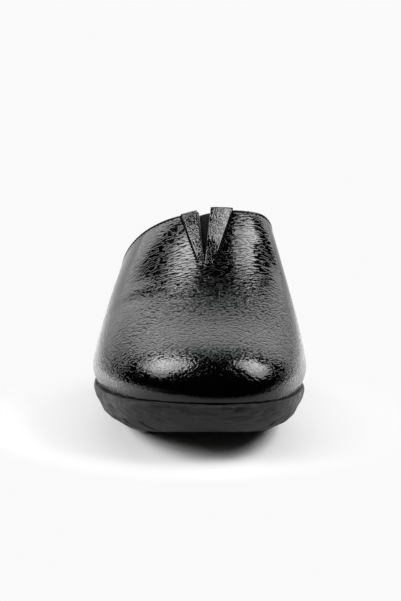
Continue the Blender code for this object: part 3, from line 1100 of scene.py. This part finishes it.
@dataclass
class Upper:
    """The patent leather upper: outside, lining and the rolled edge of its collar."""

    last: Last
    patent: bpy.types.Material
    lining: bpy.types.Material
    wall: float = 0.002
    toe_rows: int = 44
    tip_rows: int = 26
    notch_rows: int = 34
    columns: int = 84
    edge_widths: tuple[float, ...] = (0.0036, 0.0030, 0.0025, 0.0021, 0.0018, 0.0015, 0.0012, 0.0010)
    seam_width: float = 0.0019
    seam_depth: float = 0.00035
    seam_half: float = 0.00045
    notch_bulge: float = 0.5
    notch_fade: int = 6
    sharp: float = 50.0

    def creases(self, points: np.ndarray) -> np.ndarray:
        """Work out the listed creases.

        Args:
            points: Points of the upper's outside.

        Returns:
            How far each point sinks.
        """
        sunk = np.zeros(points.shape[:-1])
        for crease in CREASES:
            share = (points[..., 0] - crease.x_from) / (crease.x_to - crease.x_from)
            inside = np.clip(share, 0.0, 1.0)
            middle = 2.0 * crease.y_middle - (crease.y_from + crease.y_to) / 2.0
            bow = 2.0 * middle * inside * (1.0 - inside)
            line = crease.y_from * (1.0 - inside) ** 2 + bow + crease.y_to * inside**2
            fade = ease(share, 0.0, crease.fade) * ease(1.0 - share, 0.0, crease.fade)
            sunk += crease.depth * fade * np.exp(-(((points[..., 1] - line) / crease.width) ** 2))
        return sunk

    def seam(self, width: np.ndarray) -> np.ndarray:
        """Depth of the stitched groove that runs beside the collar."""
        return self.seam_depth * np.exp(-(((width - self.seam_width) / self.seam_half) ** 2))

    def half(self, side: Side) -> tuple[np.ndarray, np.ndarray]:
        """Lay out one half of the upper.

        Args:
            side: Side of the foot.

        Returns:
            Rows of the outer and of the inner face, from the toe's edge to the collar.
        """
        last = self.last
        widths = np.array(self.edge_widths)
        throat = last.throat_edge(np.array(1.0), side)
        slide = last.collar_slide(throat, widths) / (last.throat_back - last.toe_start)
        main = 1.0 - slide[0]
        tip = np.linspace(0.0, last.notch_share, self.tip_rows, endpoint=False)
        notch = np.linspace(last.notch_share, main, self.notch_rows + 1)
        share = np.concatenate([tip, notch, 1.0 - slide[1:]])
        edge = last.throat_edge(share, side)
        spread = np.linspace(0.0, 1.0, self.columns + 1)
        across = edge[:, None] + (side - edge[:, None]) * spread
        width = np.concatenate([np.full(len(tip) + len(notch), widths[0]), widths[1:]])[:, None]
        reach = np.minimum(share / main, 1.0)[:, None]
        back = last.collar_station(across) - last.collar_slide(across, np.broadcast_to(width, across.shape))
        station = last.toe_start + (back - last.toe_start) * reach
        toe = np.linspace(1.0, 0.0, self.toe_rows + 1)[:-1]
        toe_across = np.broadcast_to(across[0], (self.toe_rows, self.columns + 1))
        across = np.concatenate([toe_across, across])
        station = np.concatenate([np.full(toe_across.shape, last.toe_start), station])
        toe = np.concatenate([toe, np.zeros(len(share))])[:, None] * np.ones_like(spread)
        points = last.shell(across, station, toe)
        normals = last.normal(across, station, toe)
        sunk = self.creases(points)
        sunk[self.toe_rows + len(tip) + len(notch) - 1:] += self.seam(width[len(tip) + len(notch) - 1:])
        return points - sunk[..., None] * normals, points - self.wall * normals

    def edges(self, outer: np.ndarray, inner: np.ndarray) -> np.ndarray:
        """Round the edge of one half.

        Args:
            outer: Rows of its outer face.
            inner: Rows of its inner face.

        Returns:
            Rows round the edge, from the notch's tip along notch, collar, side and toe.
        """
        rows, columns = outer.shape[:2]
        first = self.toe_rows + self.tip_rows
        notch = [(r, 0) for r in range(first, rows - 1)]
        collar = [(rows - 1, c) for c in range(columns)]
        foot = [(r, columns - 1) for r in range(rows - 2, -1, -1)]
        foot += [(0, c) for c in range(columns - 2, -1, -1)]
        at = tuple(np.array(notch + collar + foot).T)
        outward = np.zeros_like(outer)
        outward[:, 0] = unit(outer[:, 0] - outer[:, 1])
        outward[-1] = unit(outer[-1] - outer[-2])
        bulge = np.concatenate([
            self.notch_bulge * ease(np.arange(len(notch)), 0, self.notch_fade),
            np.ones(len(collar)),
            np.zeros(len(foot)),
        ])
        return Bench.rim(outer[at], inner[at], outward[at], bulge)

    def build(self) -> None:
        """Make the upper and put it in place of its node."""
        parts = []
        for side in Side:
            outer, inner = self.half(side)
            tag = side.name.lower()
            lengths = surface_lengths(outer) * (side, 1.0)
            parts.append(Bench.grid(f"outside_{tag}", outer, self.patent, lengths))
            parts.append(Bench.grid(f"edge_{tag}", self.edges(outer, inner), self.patent))
            parts.append(Bench.grid(f"inside_{tag}", inner, self.lining))
        made = Bench.join("upper_leather", parts, self.sharp)
        Bench.settle(made, Slot.PATENT, "upper")


@dataclass
class Throat:
    """The two facings beside the notch and the elastic gore behind it."""

    last: Last
    patent: bpy.types.Material
    elastic: bpy.types.Material
    wall: float = 0.002
    facing_thickness: float = 0.0009
    facing_skive: float = 0.00004
    facing_skive_share: float = 0.12
    lean: dict[Side, float] = field(default_factory=lambda: {Side.LATERAL: -0.05, Side.MEDIAL: 0.22})
    lean_from: float = 0.18
    lean_to: float = 0.42
    top_lift: dict[Side, float] = field(default_factory=lambda: {Side.LATERAL: 0.0, Side.MEDIAL: 0.0004})
    notch_drop: dict[Side, float] = field(default_factory=lambda: {Side.LATERAL: 0.0, Side.MEDIAL: 0.0020})
    outer_drop: dict[Side, float] = field(default_factory=lambda: {Side.LATERAL: 0.0010, Side.MEDIAL: 0.0004})
    facing_edge: float = 0.0003
    tip_width: dict[Side, float] = field(default_factory=lambda: {Side.LATERAL: 0.0027, Side.MEDIAL: 0.0042})
    top_width: dict[Side, float] = field(default_factory=lambda: {Side.LATERAL: 0.0083, Side.MEDIAL: 0.0104})
    facing_bulge: float = 0.6
    facing_rows: int = 48
    facing_columns: int = 14
    gore_thickness: float = 0.0010
    gore_overlap: float = 0.0050
    gore_shares: tuple[float, float] = (0.42, 0.995)
    gore_bulge: float = 0.5
    gore_rows: int = 40
    gore_columns: int = 24

    def upward(self, share: np.ndarray) -> np.ndarray:
        """Share of the way up the notch at a share of the throat's length."""
        return (share - self.last.notch_share) / (1.0 - self.last.notch_share)

    def facing_width(self, side: Side, share: np.ndarray) -> np.ndarray:
        """Width of a facing at a share of the throat's length."""
        taper = self.upward(share)
        return self.tip_width[side] + (self.top_width[side] - self.tip_width[side]) * taper

    def facing_place(self, side: Side, share: np.ndarray, cross: np.ndarray) -> tuple[np.ndarray, np.ndarray]:
        """Find places on a facing.

        Args:
            side: Side of the foot.
            share: Share of the throat's length.
            cross: 0 at the notch and 1 at the facing's outer edge.

        Returns:
            Places across the upper and distances from the toe.
        """
        last = self.last
        near = last.throat_edge(share, side, self.facing_edge)
        far = last.throat_edge(share, side, self.facing_width(side, share) - self.facing_edge)
        across = near + (far - near) * cross
        return across, last.toe_start + (last.collar_station(across) - last.toe_start) * share

    def facing(self, side: Side) -> None:
        """Make one facing, which leans away from the upper or into it towards the notch.

        Args:
            side: Side of the foot.
        """
        last = self.last
        run = last.throat_back - last.toe_start
        cross = np.linspace(0.0, 1.0, self.facing_columns + 1)
        drop = self.facing_edge + self.notch_drop[side] * (1.0 - cross) + self.outer_drop[side] * cross
        tip = last.notch_share + self.facing_edge / run
        share = np.linspace(tip, 1.0 - drop / run, self.facing_rows + 1)
        cross = np.broadcast_to(cross, share.shape)
        across, station = self.facing_place(side, share, cross)
        normals = last.normal(across, station)
        body = ease(share, last.notch_share, last.notch_share + self.facing_skive_share)
        foot = last.shell(across, station) + (self.facing_skive + last.gap * body)[..., None] * normals
        upward = self.upward(share)
        lean = self.lean[side] * ease(upward, self.lean_from, self.lean_to)
        lift = lean * self.facing_width(side, share) * (1.0 - cross) + self.top_lift[side] * upward**2
        height = self.facing_skive + (self.facing_thickness - self.facing_skive) * body
        inner = foot + np.maximum(lift, 0.0)[..., None] * normals
        outer = foot + (height + lift)[..., None] * normals
        tag = side.name.lower()
        made = Bench.slab(f"facing_{tag}_leather", outer, inner, self.facing_bulge, self.patent)
        Bench.settle(made, Slot.PATENT, f"throat_facing_{tag}")

    def gore(self) -> None:
        """Make the gore inside the upper's wall."""
        last = self.last
        share = np.linspace(*self.gore_shares, self.gore_rows + 1)
        low = last.throat_edge(share, Side.LATERAL, self.gore_overlap)[:, None]
        high = last.throat_edge(share, Side.MEDIAL, self.gore_overlap)[:, None]
        across = low + (high - low) * np.linspace(0.0, 1.0, self.gore_columns + 1)
        station = np.broadcast_to(last.throat_station(share)[:, None], across.shape)
        normals = last.normal(across, station)
        outer = last.shell(across, station) - (self.wall + last.gap) * normals
        inner = outer - self.gore_thickness * normals
        made = Bench.slab("gore_elastic", outer, inner, self.gore_bulge, self.elastic)
        Bench.settle(made, Slot.ELASTIC, "gore")

    def build(self) -> None:
        """Make both facings and the gore."""
        for side in Side:
            self.facing(side)
        self.gore()


@dataclass
class Stitching:
    """Rows of thread beside the collar and along the facings."""

    last: Last
    throat: Throat
    seam_width: float
    seam_depth: float
    thread: bpy.types.Material
    pitch: float = 0.0022
    stitch: float = 0.0021
    thickness: float = 0.0015
    samples: int = 400
    collar_reach: float = 0.985
    facing_reach: float = 0.99
    facing_offset: float = 0.0006

    def spaced(self, points: np.ndarray, normals: np.ndarray) -> tuple[np.ndarray, np.ndarray, np.ndarray]:
        """Space stitches along a line.

        Args:
            points: The line.
            normals: Directions out of the leather along it.

        Returns:
            Middles, directions and normals of the stitches.
        """
        run = np.concatenate([[0.0], np.cumsum(np.linalg.norm(np.diff(points, axis=0), axis=1))])
        at = np.arange(self.pitch, run[-1] - self.pitch / 2.0, self.pitch)
        place = np.stack([np.interp(at, run, points[:, i]) for i in range(3)], axis=-1)
        ahead = np.stack([np.interp(at + self.stitch / 2.0, run, points[:, i]) for i in range(3)], axis=-1)
        up = unit(np.stack([np.interp(at, run, normals[:, i]) for i in range(3)], axis=-1))
        return place, unit(ahead - place), up

    def row(self, name: str, points: np.ndarray, normals: np.ndarray) -> None:
        """Make one row of stitches as a joined mesh.

        Args:
            name: Name of the piece.
            points: Line that the row follows.
            normals: Directions out of the leather along it.
        """
        Bench.clear_selection()
        bpy.ops.mesh.primitive_uv_sphere_add(segments=8, ring_count=6, radius=0.5)
        pattern = bpy.context.object
        shape = np.array([vertex.co for vertex in pattern.data.vertices])
        faces = [list(polygon.vertices) for polygon in pattern.data.polygons]
        shape = shape[:, [2, 0, 1]] * (self.stitch, self.thickness, self.thickness)
        shape[:, 2] -= self.thickness * (2.0 * shape[:, 0] / self.stitch) ** 2
        place, along, up = self.spaced(points, normals)
        sideways = unit(np.cross(up, along))
        frames = np.stack([along, sideways, np.cross(along, sideways)], axis=-1)
        vertices = np.einsum("nij,vj->nvi", frames, shape) + place[:, None, :]
        copies = [[i + k * len(shape) for i in face] for k in range(len(place)) for face in faces]
        mesh = bpy.data.meshes.new(name)
        mesh.from_pydata(vertices.reshape(-1, 3).tolist(), [], copies)
        mesh.materials.append(self.thread)
        mesh.shade_smooth()
        bpy.data.objects.remove(pattern, do_unlink=True)
        made = bpy.data.objects.new(name, mesh)
        bpy.context.scene.collection.objects.link(made)
        Bench.settle(made, Slot.PATENT)

    def build(self) -> None:
        """Make the rows on both sides."""
        last = self.last
        for side in Side:
            tag = side.name.lower()
            start = last.throat_edge(np.array(1.0), side, self.throat.top_width[side] + self.pitch)
            across = np.linspace(float(start), side * self.collar_reach, self.samples)
            station = last.collar_station(across)
            station = station - last.collar_slide(across, np.full_like(across, self.seam_width))
            normals = last.normal(across, station)
            groove = last.shell(across, station) - normals * self.seam_depth
            self.row(f"collar_stitches_{tag}", groove, normals)
            share = np.linspace(last.notch_share, self.facing_reach, self.samples)
            beside = 1.0 + self.facing_offset / self.throat.facing_width(side, share)
            across, station = self.throat.facing_place(side, share, beside)
            normals = last.normal(across, station)
            edge = last.shell(across, station) + normals * last.gap
            self.row(f"facing_stitches_{tag}", edge, normals)


@dataclass
class Sole:
    """Insole, midsole and grooved outsole."""

    last: Last
    foam: bpy.types.Material
    rubber: bpy.types.Material
    footbed: bpy.types.Material
    steps: int = 150
    across_columns: int = 20
    outsole_thickness: float = 0.0032
    outsole_edge: float = 0.0026
    outsole_edge_inset: float = 0.0042
    outsole_lower_inset: float = 0.0068
    shoulder_inset: float = 0.0145
    shoulder_rise: float = 0.0006
    flat_inset: float = 0.0180
    seat_inset: float = 0.0150
    groove_first: float = 0.0150
    groove_pitch: float = 0.0121
    groove_count: int = 19
    groove_top: float = 0.0026
    groove_floor: float = 0.0016
    groove_depth: float = 0.0015
    groove_clear: float = 0.0003
    wall_steps: int = 5
    wall_levels: tuple[tuple[float, float], ...] = ((0.0026, 0.42), (0.0008, 0.66), (0.0, 0.90))
    lip: float = 0.00005
    rim_lip: float = 0.0007
    rim_inset: float = 0.0055
    recess_depth: float = 0.0025
    insole_inset: float = 0.0059
    insole_edge_rise: float = 0.0010
    insole_crown_rise: float = 0.0016
    insole_round: float = 0.0012
    round_steps: int = 4
    heel_dish: float = 0.0022
    heel_dish_station: float = 0.222
    heel_dish_reach: float = 0.050
    sharp: float = 50.0
    tread_sharp: float = 32.0

    def side_points(self, angles: np.ndarray, inset: float, height: Callable) -> np.ndarray:
        """Points of one level of the sole's side.

        Args:
            angles: Angles round the shoe.
            inset: Distance from the outline.
            height: Function of the level's own station and the outline's station that gives Z.

        Returns:
            The points.
        """
        x, station, outline = self.last.ring(angles, inset)
        return self.last.row_frame(x, station, height(station, outline))

    def loops(self, angles: np.ndarray, levels: Callable[[np.ndarray], np.ndarray]) -> np.ndarray:
        """Closed sections from the levels of both sides, with strips across the top and the bottom.

        Args:
            angles: Angles of the medial side, from the toe to the heel.
            levels: Function of the angles that gives the levels from the bottom to the top.

        Returns:
            One closed row of points for each angle.
        """
        medial = levels(angles).swapaxes(0, 1)
        lateral = levels(-angles).swapaxes(0, 1)
        share = np.linspace(0.0, 1.0, self.across_columns + 1)[1:-1][None, :, None]
        top = medial[:, -1:] + (lateral[:, -1:] - medial[:, -1:]) * share
        bottom = lateral[:, :1] + (medial[:, :1] - lateral[:, :1]) * share
        return np.concatenate([medial, top, lateral[:, ::-1], bottom], axis=1)

    def midsole_levels(self, angles: np.ndarray) -> np.ndarray:
        """Lay out the midsole's side.

        Args:
            angles: Angles round the shoe.

        Returns:
            The levels, from the seat on the outsole to the floor of the recess.
        """
        last = self.last
        seat = self.side_points(angles, self.seat_inset,
                                lambda at, _: last.tread_z(at) + self.outsole_thickness + last.gap)
        keys = [self.side_points(angles, self.outsole_edge_inset - self.lip,
                                 lambda _, out: last.wall_z(out) + self.outsole_edge + self.lip)]
        for inset, rise in self.wall_levels:
            keys.append(self.side_points(
                angles, inset, lambda _, out: last.wall_z(out) * (1.0 - rise) + last.feather_z(out) * rise))
        keys.append(self.side_points(angles, self.rim_lip, lambda _, out: last.feather_z(out)))
        inner = self.side_points(angles, self.rim_inset, lambda at, _: last.feather_z(at))
        floor = self.side_points(angles, self.rim_inset, lambda at, _: last.feather_z(at) - self.recess_depth)
        side = smooth_rows(np.stack(keys), self.wall_steps)
        return np.concatenate([seat[None], side, inner[None], floor[None]])

    def midsole(self) -> None:
        """Make the midsole."""
        angles = np.linspace(0.0, np.pi, self.steps + 1)
        made = Bench.wrap("midsole_foam", self.loops(angles, self.midsole_levels), self.sharp, self.foam)
        Bench.settle(made, Slot.FOAM, "midsole")

    def groove_stations(self) -> tuple[np.ndarray, np.ndarray]:
        """Place the outsole's sections, close together at the grooves.

        Returns:
            Distances from the toe and the share of the groove's depth at each.
        """
        centres = self.groove_first + self.groove_pitch * np.arange(self.groove_count)
        even = self.last.angle_station(np.linspace(0.0, np.pi, self.steps + 1))
        clear = np.abs(even[:, None] - centres).min(axis=1) > self.groove_top / 2.0 + self.groove_clear
        tops = np.concatenate([centres - self.groove_top / 2.0, centres + self.groove_top / 2.0])
        floors = np.concatenate([centres - self.groove_floor / 2.0, centres + self.groove_floor / 2.0])
        stations = np.concatenate([even[clear], tops, floors])
        depths = np.concatenate([np.zeros(clear.sum() + len(tops)), np.ones(len(floors))])
        order = np.argsort(stations)
        return stations[order], depths[order]

    def outsole(self) -> None:
        """Make the outsole with its grooves."""
        last = self.last
        stations, depths = self.groove_stations()
        cut = self.groove_depth * depths

        def levels(angles: np.ndarray) -> np.ndarray:
            """Levels of the outsole's side, from its underside to its seat."""
            return np.stack([
                self.side_points(angles, self.flat_inset, lambda at, _: last.tread_z(at) + cut),
                self.side_points(angles, self.shoulder_inset,
                                 lambda at, _: last.tread_z(at) + self.shoulder_rise + cut),
                self.side_points(angles, self.outsole_lower_inset, lambda _, out: last.wall_z(out) + cut),
                self.side_points(angles, self.outsole_edge_inset,
                                 lambda _, out: last.wall_z(out) + self.outsole_edge),
                self.side_points(angles, self.seat_inset,
                                 lambda at, _: last.tread_z(at) + self.outsole_thickness),
            ])

        loops = self.loops(last.station_angle(stations), levels)
        made = Bench.wrap("outsole_rubber", loops, self.tread_sharp, self.rubber)
        Bench.settle(made, Slot.TREAD, "outsole")

    def insole_top(self, x: np.ndarray, station: np.ndarray, share: np.ndarray) -> np.ndarray:
        """Shape the footbed's crowned and dished top.

        Args:
            x: X of the points.
            station: Their distance from the toe.
            share: Their share of the way across.

        Returns:
            The points.
        """
        middle = 1.0 - (2.0 * share - 1.0) ** 2
        from_heel = np.clip(np.abs(station - self.heel_dish_station) / self.heel_dish_reach, 0.0, 1.0)
        dish = self.heel_dish * (1.0 - from_heel**2) ** 2
        rise = self.insole_edge_rise + (self.insole_crown_rise - dish) * middle
        return self.last.row_frame(x, station, self.last.feather_z(station) + rise)

    def insole(self) -> None:
        """Make the insole with a rounded upper edge."""
        last = self.last
        angles = np.linspace(0.0, np.pi, self.steps + 1)
        turn = np.linspace(0.0, np.pi / 2.0, self.round_steps + 1)
        sides = []
        for sign in (1.0, -1.0):
            rows = [self.side_points(sign * angles, self.insole_inset,
                                     lambda at, _: last.feather_z(at) - self.recess_depth + last.gap)]
            for angle in turn:
                inset = self.insole_inset + self.insole_round * (1.0 - math.cos(angle))
                drop = self.insole_round * (1.0 - math.sin(angle))
                rows.append(self.side_points(
                    sign * angles, inset, lambda at, _: last.feather_z(at) + self.insole_edge_rise - drop))
            sides.append(np.stack(rows, axis=1))
        medial, lateral = sides
        share = np.linspace(0.0, 1.0, self.across_columns + 1)[None, 1:-1]
        edge_m = last.ring(angles, self.insole_inset + self.insole_round)[:2, :, None]
        edge_l = last.ring(-angles, self.insole_inset + self.insole_round)[:2, :, None]
        x, station = edge_m + (edge_l - edge_m) * share
        top = self.insole_top(x, station, np.broadcast_to(share, x.shape))
        bottom = lateral[:, :1] + (medial[:, :1] - lateral[:, :1]) * share[..., None]
        loops = np.concatenate([medial, top, lateral[:, ::-1], bottom], axis=1)
        made = Bench.wrap("insole_footbed", loops, self.sharp, self.footbed)
        Bench.settle(made, Slot.FOOTBED, "insole")

    def build(self) -> None:
        """Make the three layers of the sole."""
        self.midsole()
        self.outsole()
        self.insole()


class Rays(Enum):
    """What a panel lights: gloss, in reflections alone, or dull surfaces alone."""

    GLOSS = "gloss"
    DULL = "dull"


class LightPanel(NamedTuple):
    """A soft light overhead.

    corners and hot_spot are in degrees from straight above the shoe, towards +X and +Y. radiance is the
    brightness at the hot spot, and edge the share of it left at reach, a share of the panel's height.
    The light comes up from nothing between the two angles towards +Y in rise, which lie in front of every
    panel where they are left out.
    """

    name: str
    corners: tuple[tuple[float, float], ...]
    radiance: float
    hot_spot: tuple[float, float]
    reach: float
    edge: float
    rays: Rays
    rise: tuple[float, float] = (-80.0, -75.0)


PANELS = (
    LightPanel("softbox_lateral",
               ((-36, -17), (-27, -10), (-13, 0), (-7, 8), (-9, 15.5), (-20, 20.5), (-28, 25), (-35, 27),
                (-43, 28), (-43, 20), (-40, 0)),
               11.5, (-24, 10), 0.45, 0.28, Rays.GLOSS),
    LightPanel("softbox_medial",
               ((40, -12), (43, -5), (47, 12), (47, 18), (40, 16), (33, 14.5), (27, 14.5), (24, 16.5),
                (20, 16.5), (15, 15.3), (11, 13.8), (7.5, 12.3), (7, 8), (16, 0), (32, -9)),
               10.0, (26, 10), 0.45, 0.40, Rays.GLOSS),
    LightPanel("back_panel_lateral",
               ((0, 16.5), (-9, 21), (-20, 28), (-28, 36), (-34, 42), (-40, 49), (-45, 54), (-50, 62),
                (-47, 68), (0, 70)),
               2.5, (-18, 44), 2.0, 0.60, Rays.GLOSS, (16, 37)),
    LightPanel("back_panel_medial",
               ((0, 16.5), (0, 66), (46, 64), (54, 58), (51, 50), (46, 41), (40, 35), (33, 31),
                (26, 27.5), (18, 24)),
               2.6, (17, 44), 2.0, 0.60, Rays.GLOSS, (16, 37)),
    LightPanel("front_fill", ((-45, -18), (-45, -50), (45, -50), (45, -18)),
               0.7, (0, -30), 2.0, 0.80, Rays.DULL),
    LightPanel("back_fill", ((-30, 12), (-30, 42), (30, 42), (30, 12)),
               1.6, (0, 25), 2.0, 0.80, Rays.DULL),
    LightPanel("side_fill_lateral", ((-44, -26), (-44, 32), (-62, 38), (-64, -30)),
               13.0, (-54, 0), 4.0, 0.90, Rays.DULL),
    LightPanel("side_fill_medial", ((32, -26), (52, -30), (52, 33), (32, 27)),
               10.2, (42, 0), 4.0, 0.90, Rays.DULL),
)


@dataclass
class Studio:
    """Pale floor, soft lights, surround and the camera.

    The floor turns plain white between the distances in plain_span from plain_center. In reflections it does
    so between those in mirror_span, and there its colour and glow carry painted shade and light: they fade
    out in front between the places in front_fade and are brighter at the sides, by side_gain at the outer and
    the inner one. The surround is what the shoe mirrors: it ends at the heights in wall_span, lower at the
    sides, and fades out in front over behind_span. skew turns both fades a little sideways.
    """

    middle: tuple[float, float] = (0.0, -0.07)
    panel_height: float = 1.2
    floor_size: float = 12.0
    floor_tone: float = 0.82
    far_tone: float = 0.950
    plain_center: float = -0.038
    plain_span: tuple[float, float] = (0.069, 0.112)
    mirror_span: tuple[float, float] = (0.25, 0.60)
    gloss_tone: float = 0.62
    front_fade: tuple[float, float] = (-0.32, -0.08)
    side_gain: tuple[float, float] = (2.1, 1.6)
    side_change: tuple[float, float] = (-0.1, 0.1)
    side_softness: float = 0.01
    skew: float = 0.2
    surround: float = 0.74
    wall_span: tuple[float, float] = (0.12, 0.62)
    wall_tilt: float = 0.08
    wall_side: tuple[float, float] = (0.30, 0.44)
    wall_squeeze: float = 2.9
    behind_span: tuple[float, float] = (-0.70, 0.20)
    side_glow: float = 1.7
    medial_glow: float = 0.2
    camera_elevation: float = 12.5
    camera_distance: float = 0.950
    camera_target: tuple[float, float, float] = (0.0004, -0.054, 0.045)
    focal_pixels: float = 2044.7
    target_pixel: tuple[float, float] = (199.3, 332.0)
    image_size: tuple[int, int] = (401, 601)
    sensor: float = 36.0
    near_clip: float = 0.01

    def floor(self) -> None:
        """Lay a pale floor that fades into plain white away from the shoe, with painted shade and light in
        what the shoe mirrors of it.
        """
        Bench.clear_selection()
        bpy.ops.mesh.primitive_plane_add(size=self.floor_size)
        floor = bpy.context.object
        floor.name = "floor"
        made, sheet = new_material("floor")
        x, y, _ = sheet.axes(sheet.place())
        distance = sheet.math("SQRT", x * x + y * y)
        near = sheet.math("SQRT", x * x + (y - self.plain_center) ** 2.0)
        gloss = Field(sheet, sheet.node("ShaderNodeLightPath").outputs["Is Glossy Ray"])
        plain = 1.0 - gloss
        # Painted light and shade, seen only in reflections: the floor's colour and glow are brightened at the
        # sides and darkened in front.
        gain = x.step(*self.side_change).span(*self.side_gain)
        sides = x * x / (x * x + y * y + self.side_softness) * gain + 1.0
        mirrored = (y - x * self.skew).step(*self.front_fade) * sides * self.gloss_tone
        away = gloss * distance.step(*self.mirror_span) + plain * near.step(*self.plain_span)
        tone = (gloss * mirrored + plain) * self.floor_tone
        glow = gloss * mirrored + plain * self.far_tone
        paper = sheet.node("ShaderNodeBsdfDiffuse", None, {"Color": tone})
        white = sheet.node("ShaderNodeEmission", None, {"Strength": glow})
        mixed = sheet.node("ShaderNodeMixShader", None,
                           {0: away, 1: paper.outputs[0], 2: white.outputs[0]})
        sheet.node("ShaderNodeOutputMaterial", None, {"Surface": mixed.outputs[0]})
        floor.data.materials.append(made)

    def card(self, name: str, corners: np.ndarray, rays: Rays) -> NodeSheet:
        """Hang a flat card that the camera doesn't see.

        Args:
            name: Name of the card and of its material.
            corners: X and Y of its corners, in order.
            rays: What it lights.

        Returns:
            The empty sheet of its material.
        """
        Bench.clear_selection()
        bpy.ops.mesh.primitive_circle_add(vertices=len(corners), radius=1.0, fill_type="NGON")
        card = bpy.context.object
        card.name = name
        points = np.column_stack([corners, np.full(len(corners), self.panel_height)])
        card.data.vertices.foreach_set("co", points.astype(np.float32).ravel())
        card.data.update()
        made, sheet = new_material(name)
        card.data.materials.append(made)
        card.visible_camera = False
        card.visible_diffuse = rays is Rays.DULL
        card.visible_glossy = rays is Rays.GLOSS
        card.visible_shadow = False
        return sheet

    def overhead(self, degrees: Sequence[tuple[float, float]]) -> np.ndarray:
        """Find places on the panels' plane.

        Args:
            degrees: Angles towards +X and +Y from straight above the shoe.

        Returns:
            X and Y of each on that plane.
        """
        tilt = np.array(degrees, dtype=float)
        size = np.linalg.norm(tilt, axis=-1, keepdims=True)
        return tilt / np.maximum(size, 1e-9) * np.tan(np.radians(size)) * self.panel_height + self.middle

    def panel(self, light: LightPanel) -> None:
        """Hang one soft light over the shoe.

        Args:
            light: Its form and brightness.
        """
        sheet = self.card(light.name, self.overhead(light.corners), light.rays)
        x, y, _ = sheet.axes(sheet.place())
        hot_x, hot_y = self.overhead([light.hot_spot])[0]
        away = sheet.math("SQRT", (x - hot_x) ** 2.0 + (y - hot_y) ** 2.0)
        glow = (1.0 - away.step(0.0, light.reach * self.panel_height) * (1.0 - light.edge)) * light.radiance
        rise = np.tan(np.radians(light.rise)) * self.panel_height + self.middle[1]
        lamp = sheet.node("ShaderNodeEmission", None, {"Strength": glow * y.step(*rise)})
        sheet.node("ShaderNodeOutputMaterial", None, {"Surface": lamp.outputs[0]})

    def world(self) -> None:
        """Surround the shoe with plain white for the camera and with walls for its gloss."""
        world = bpy.data.worlds.new("studio")
        world.use_nodes = True
        bpy.context.scene.world = world
        sheet = NodeSheet(world.node_tree)
        x, y, z = sheet.axes(sheet.node("ShaderNodeTexCoord").outputs["Generated"])
        squeeze = (x * x).step(*self.wall_side).span(1.0, self.wall_squeeze)
        low = 1.0 - (z * squeeze + y * self.wall_tilt).step(*self.wall_span)
        sides = x * x * self.side_glow + x * self.medial_glow + 1.0
        behind = (y - x * self.skew).step(*self.behind_span) * sides
        ray = sheet.node("ShaderNodeLightPath").outputs
        seen = Field(sheet, ray["Is Camera Ray"])
        mirrored = Field(sheet, ray["Is Glossy Ray"])
        glow = low * behind * self.surround
        strength = seen * self.far_tone + mirrored * glow
        back = sheet.node("ShaderNodeBackground", None, {"Strength": strength})
        sheet.node("ShaderNodeOutputWorld", None, {"Surface": back.outputs[0]})

    def camera(self) -> None:
        """Set the camera at the photograph's angle and distance."""
        tilt = math.radians(self.camera_elevation)
        view = Vector((0.0, math.cos(tilt), -math.sin(tilt)))
        up = Vector((0.0, math.sin(tilt), math.cos(tilt)))
        target = Vector(self.camera_target)
        scale = self.camera_distance / self.focal_pixels
        off_x = (self.image_size[0] / 2.0 - self.target_pixel[0]) * scale
        off_y = (self.target_pixel[1] - self.image_size[1] / 2.0) * scale
        eye = target - view * self.camera_distance
        aim = target + Vector((off_x, 0.0, 0.0)) + up * off_y
        lens = bpy.data.cameras.new("camera")
        lens.sensor_width = self.sensor
        lens.lens = self.focal_pixels * self.sensor / max(self.image_size)
        lens.clip_start = self.near_clip
        camera = bpy.data.objects.new("camera", lens)
        camera.location = eye
        camera.rotation_mode = "QUATERNION"
        camera.rotation_quaternion = (aim - eye).to_track_quat("-Z", "Y")
        bpy.context.scene.collection.objects.link(camera)
        bpy.context.scene.camera = camera

    def build(self) -> None:
        """Set up floor, lights, surround, camera and a plain view transform."""
        self.floor()
        for light in PANELS:
            self.panel(light)
        self.world()
        self.camera()
        bpy.context.scene.view_settings.view_transform = "Standard"
        bpy.context.scene.view_settings.look = "None"


def write_sizes() -> None:
    """Bring the view layer up to date.
    """
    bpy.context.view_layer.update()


def main() -> None:
    """Dress the slipper and set up its studio."""
    logging.basicConfig(level=logging.INFO, format="%(name)s: %(message)s")
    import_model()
    last = Last()
    patent = PatentFinish().material()
    upper = Upper(last, patent, LiningFinish().material())
    upper.build()
    strips = PatentFinish("facing_leather", instep_stretch=0.62, instep_swell=0.52).material()
    throat = Throat(last, strips, ElasticFinish().material(), upper.wall)
    throat.build()
    Stitching(last, throat, upper.seam_width, upper.seam_depth, ThreadFinish().material()).build()
    Sole(last, FoamFinish().material(), RubberFinish().material(), FootbedFinish().material()).build()
    Studio().build()
    write_sizes()


if __name__ == "__main__":
    main()
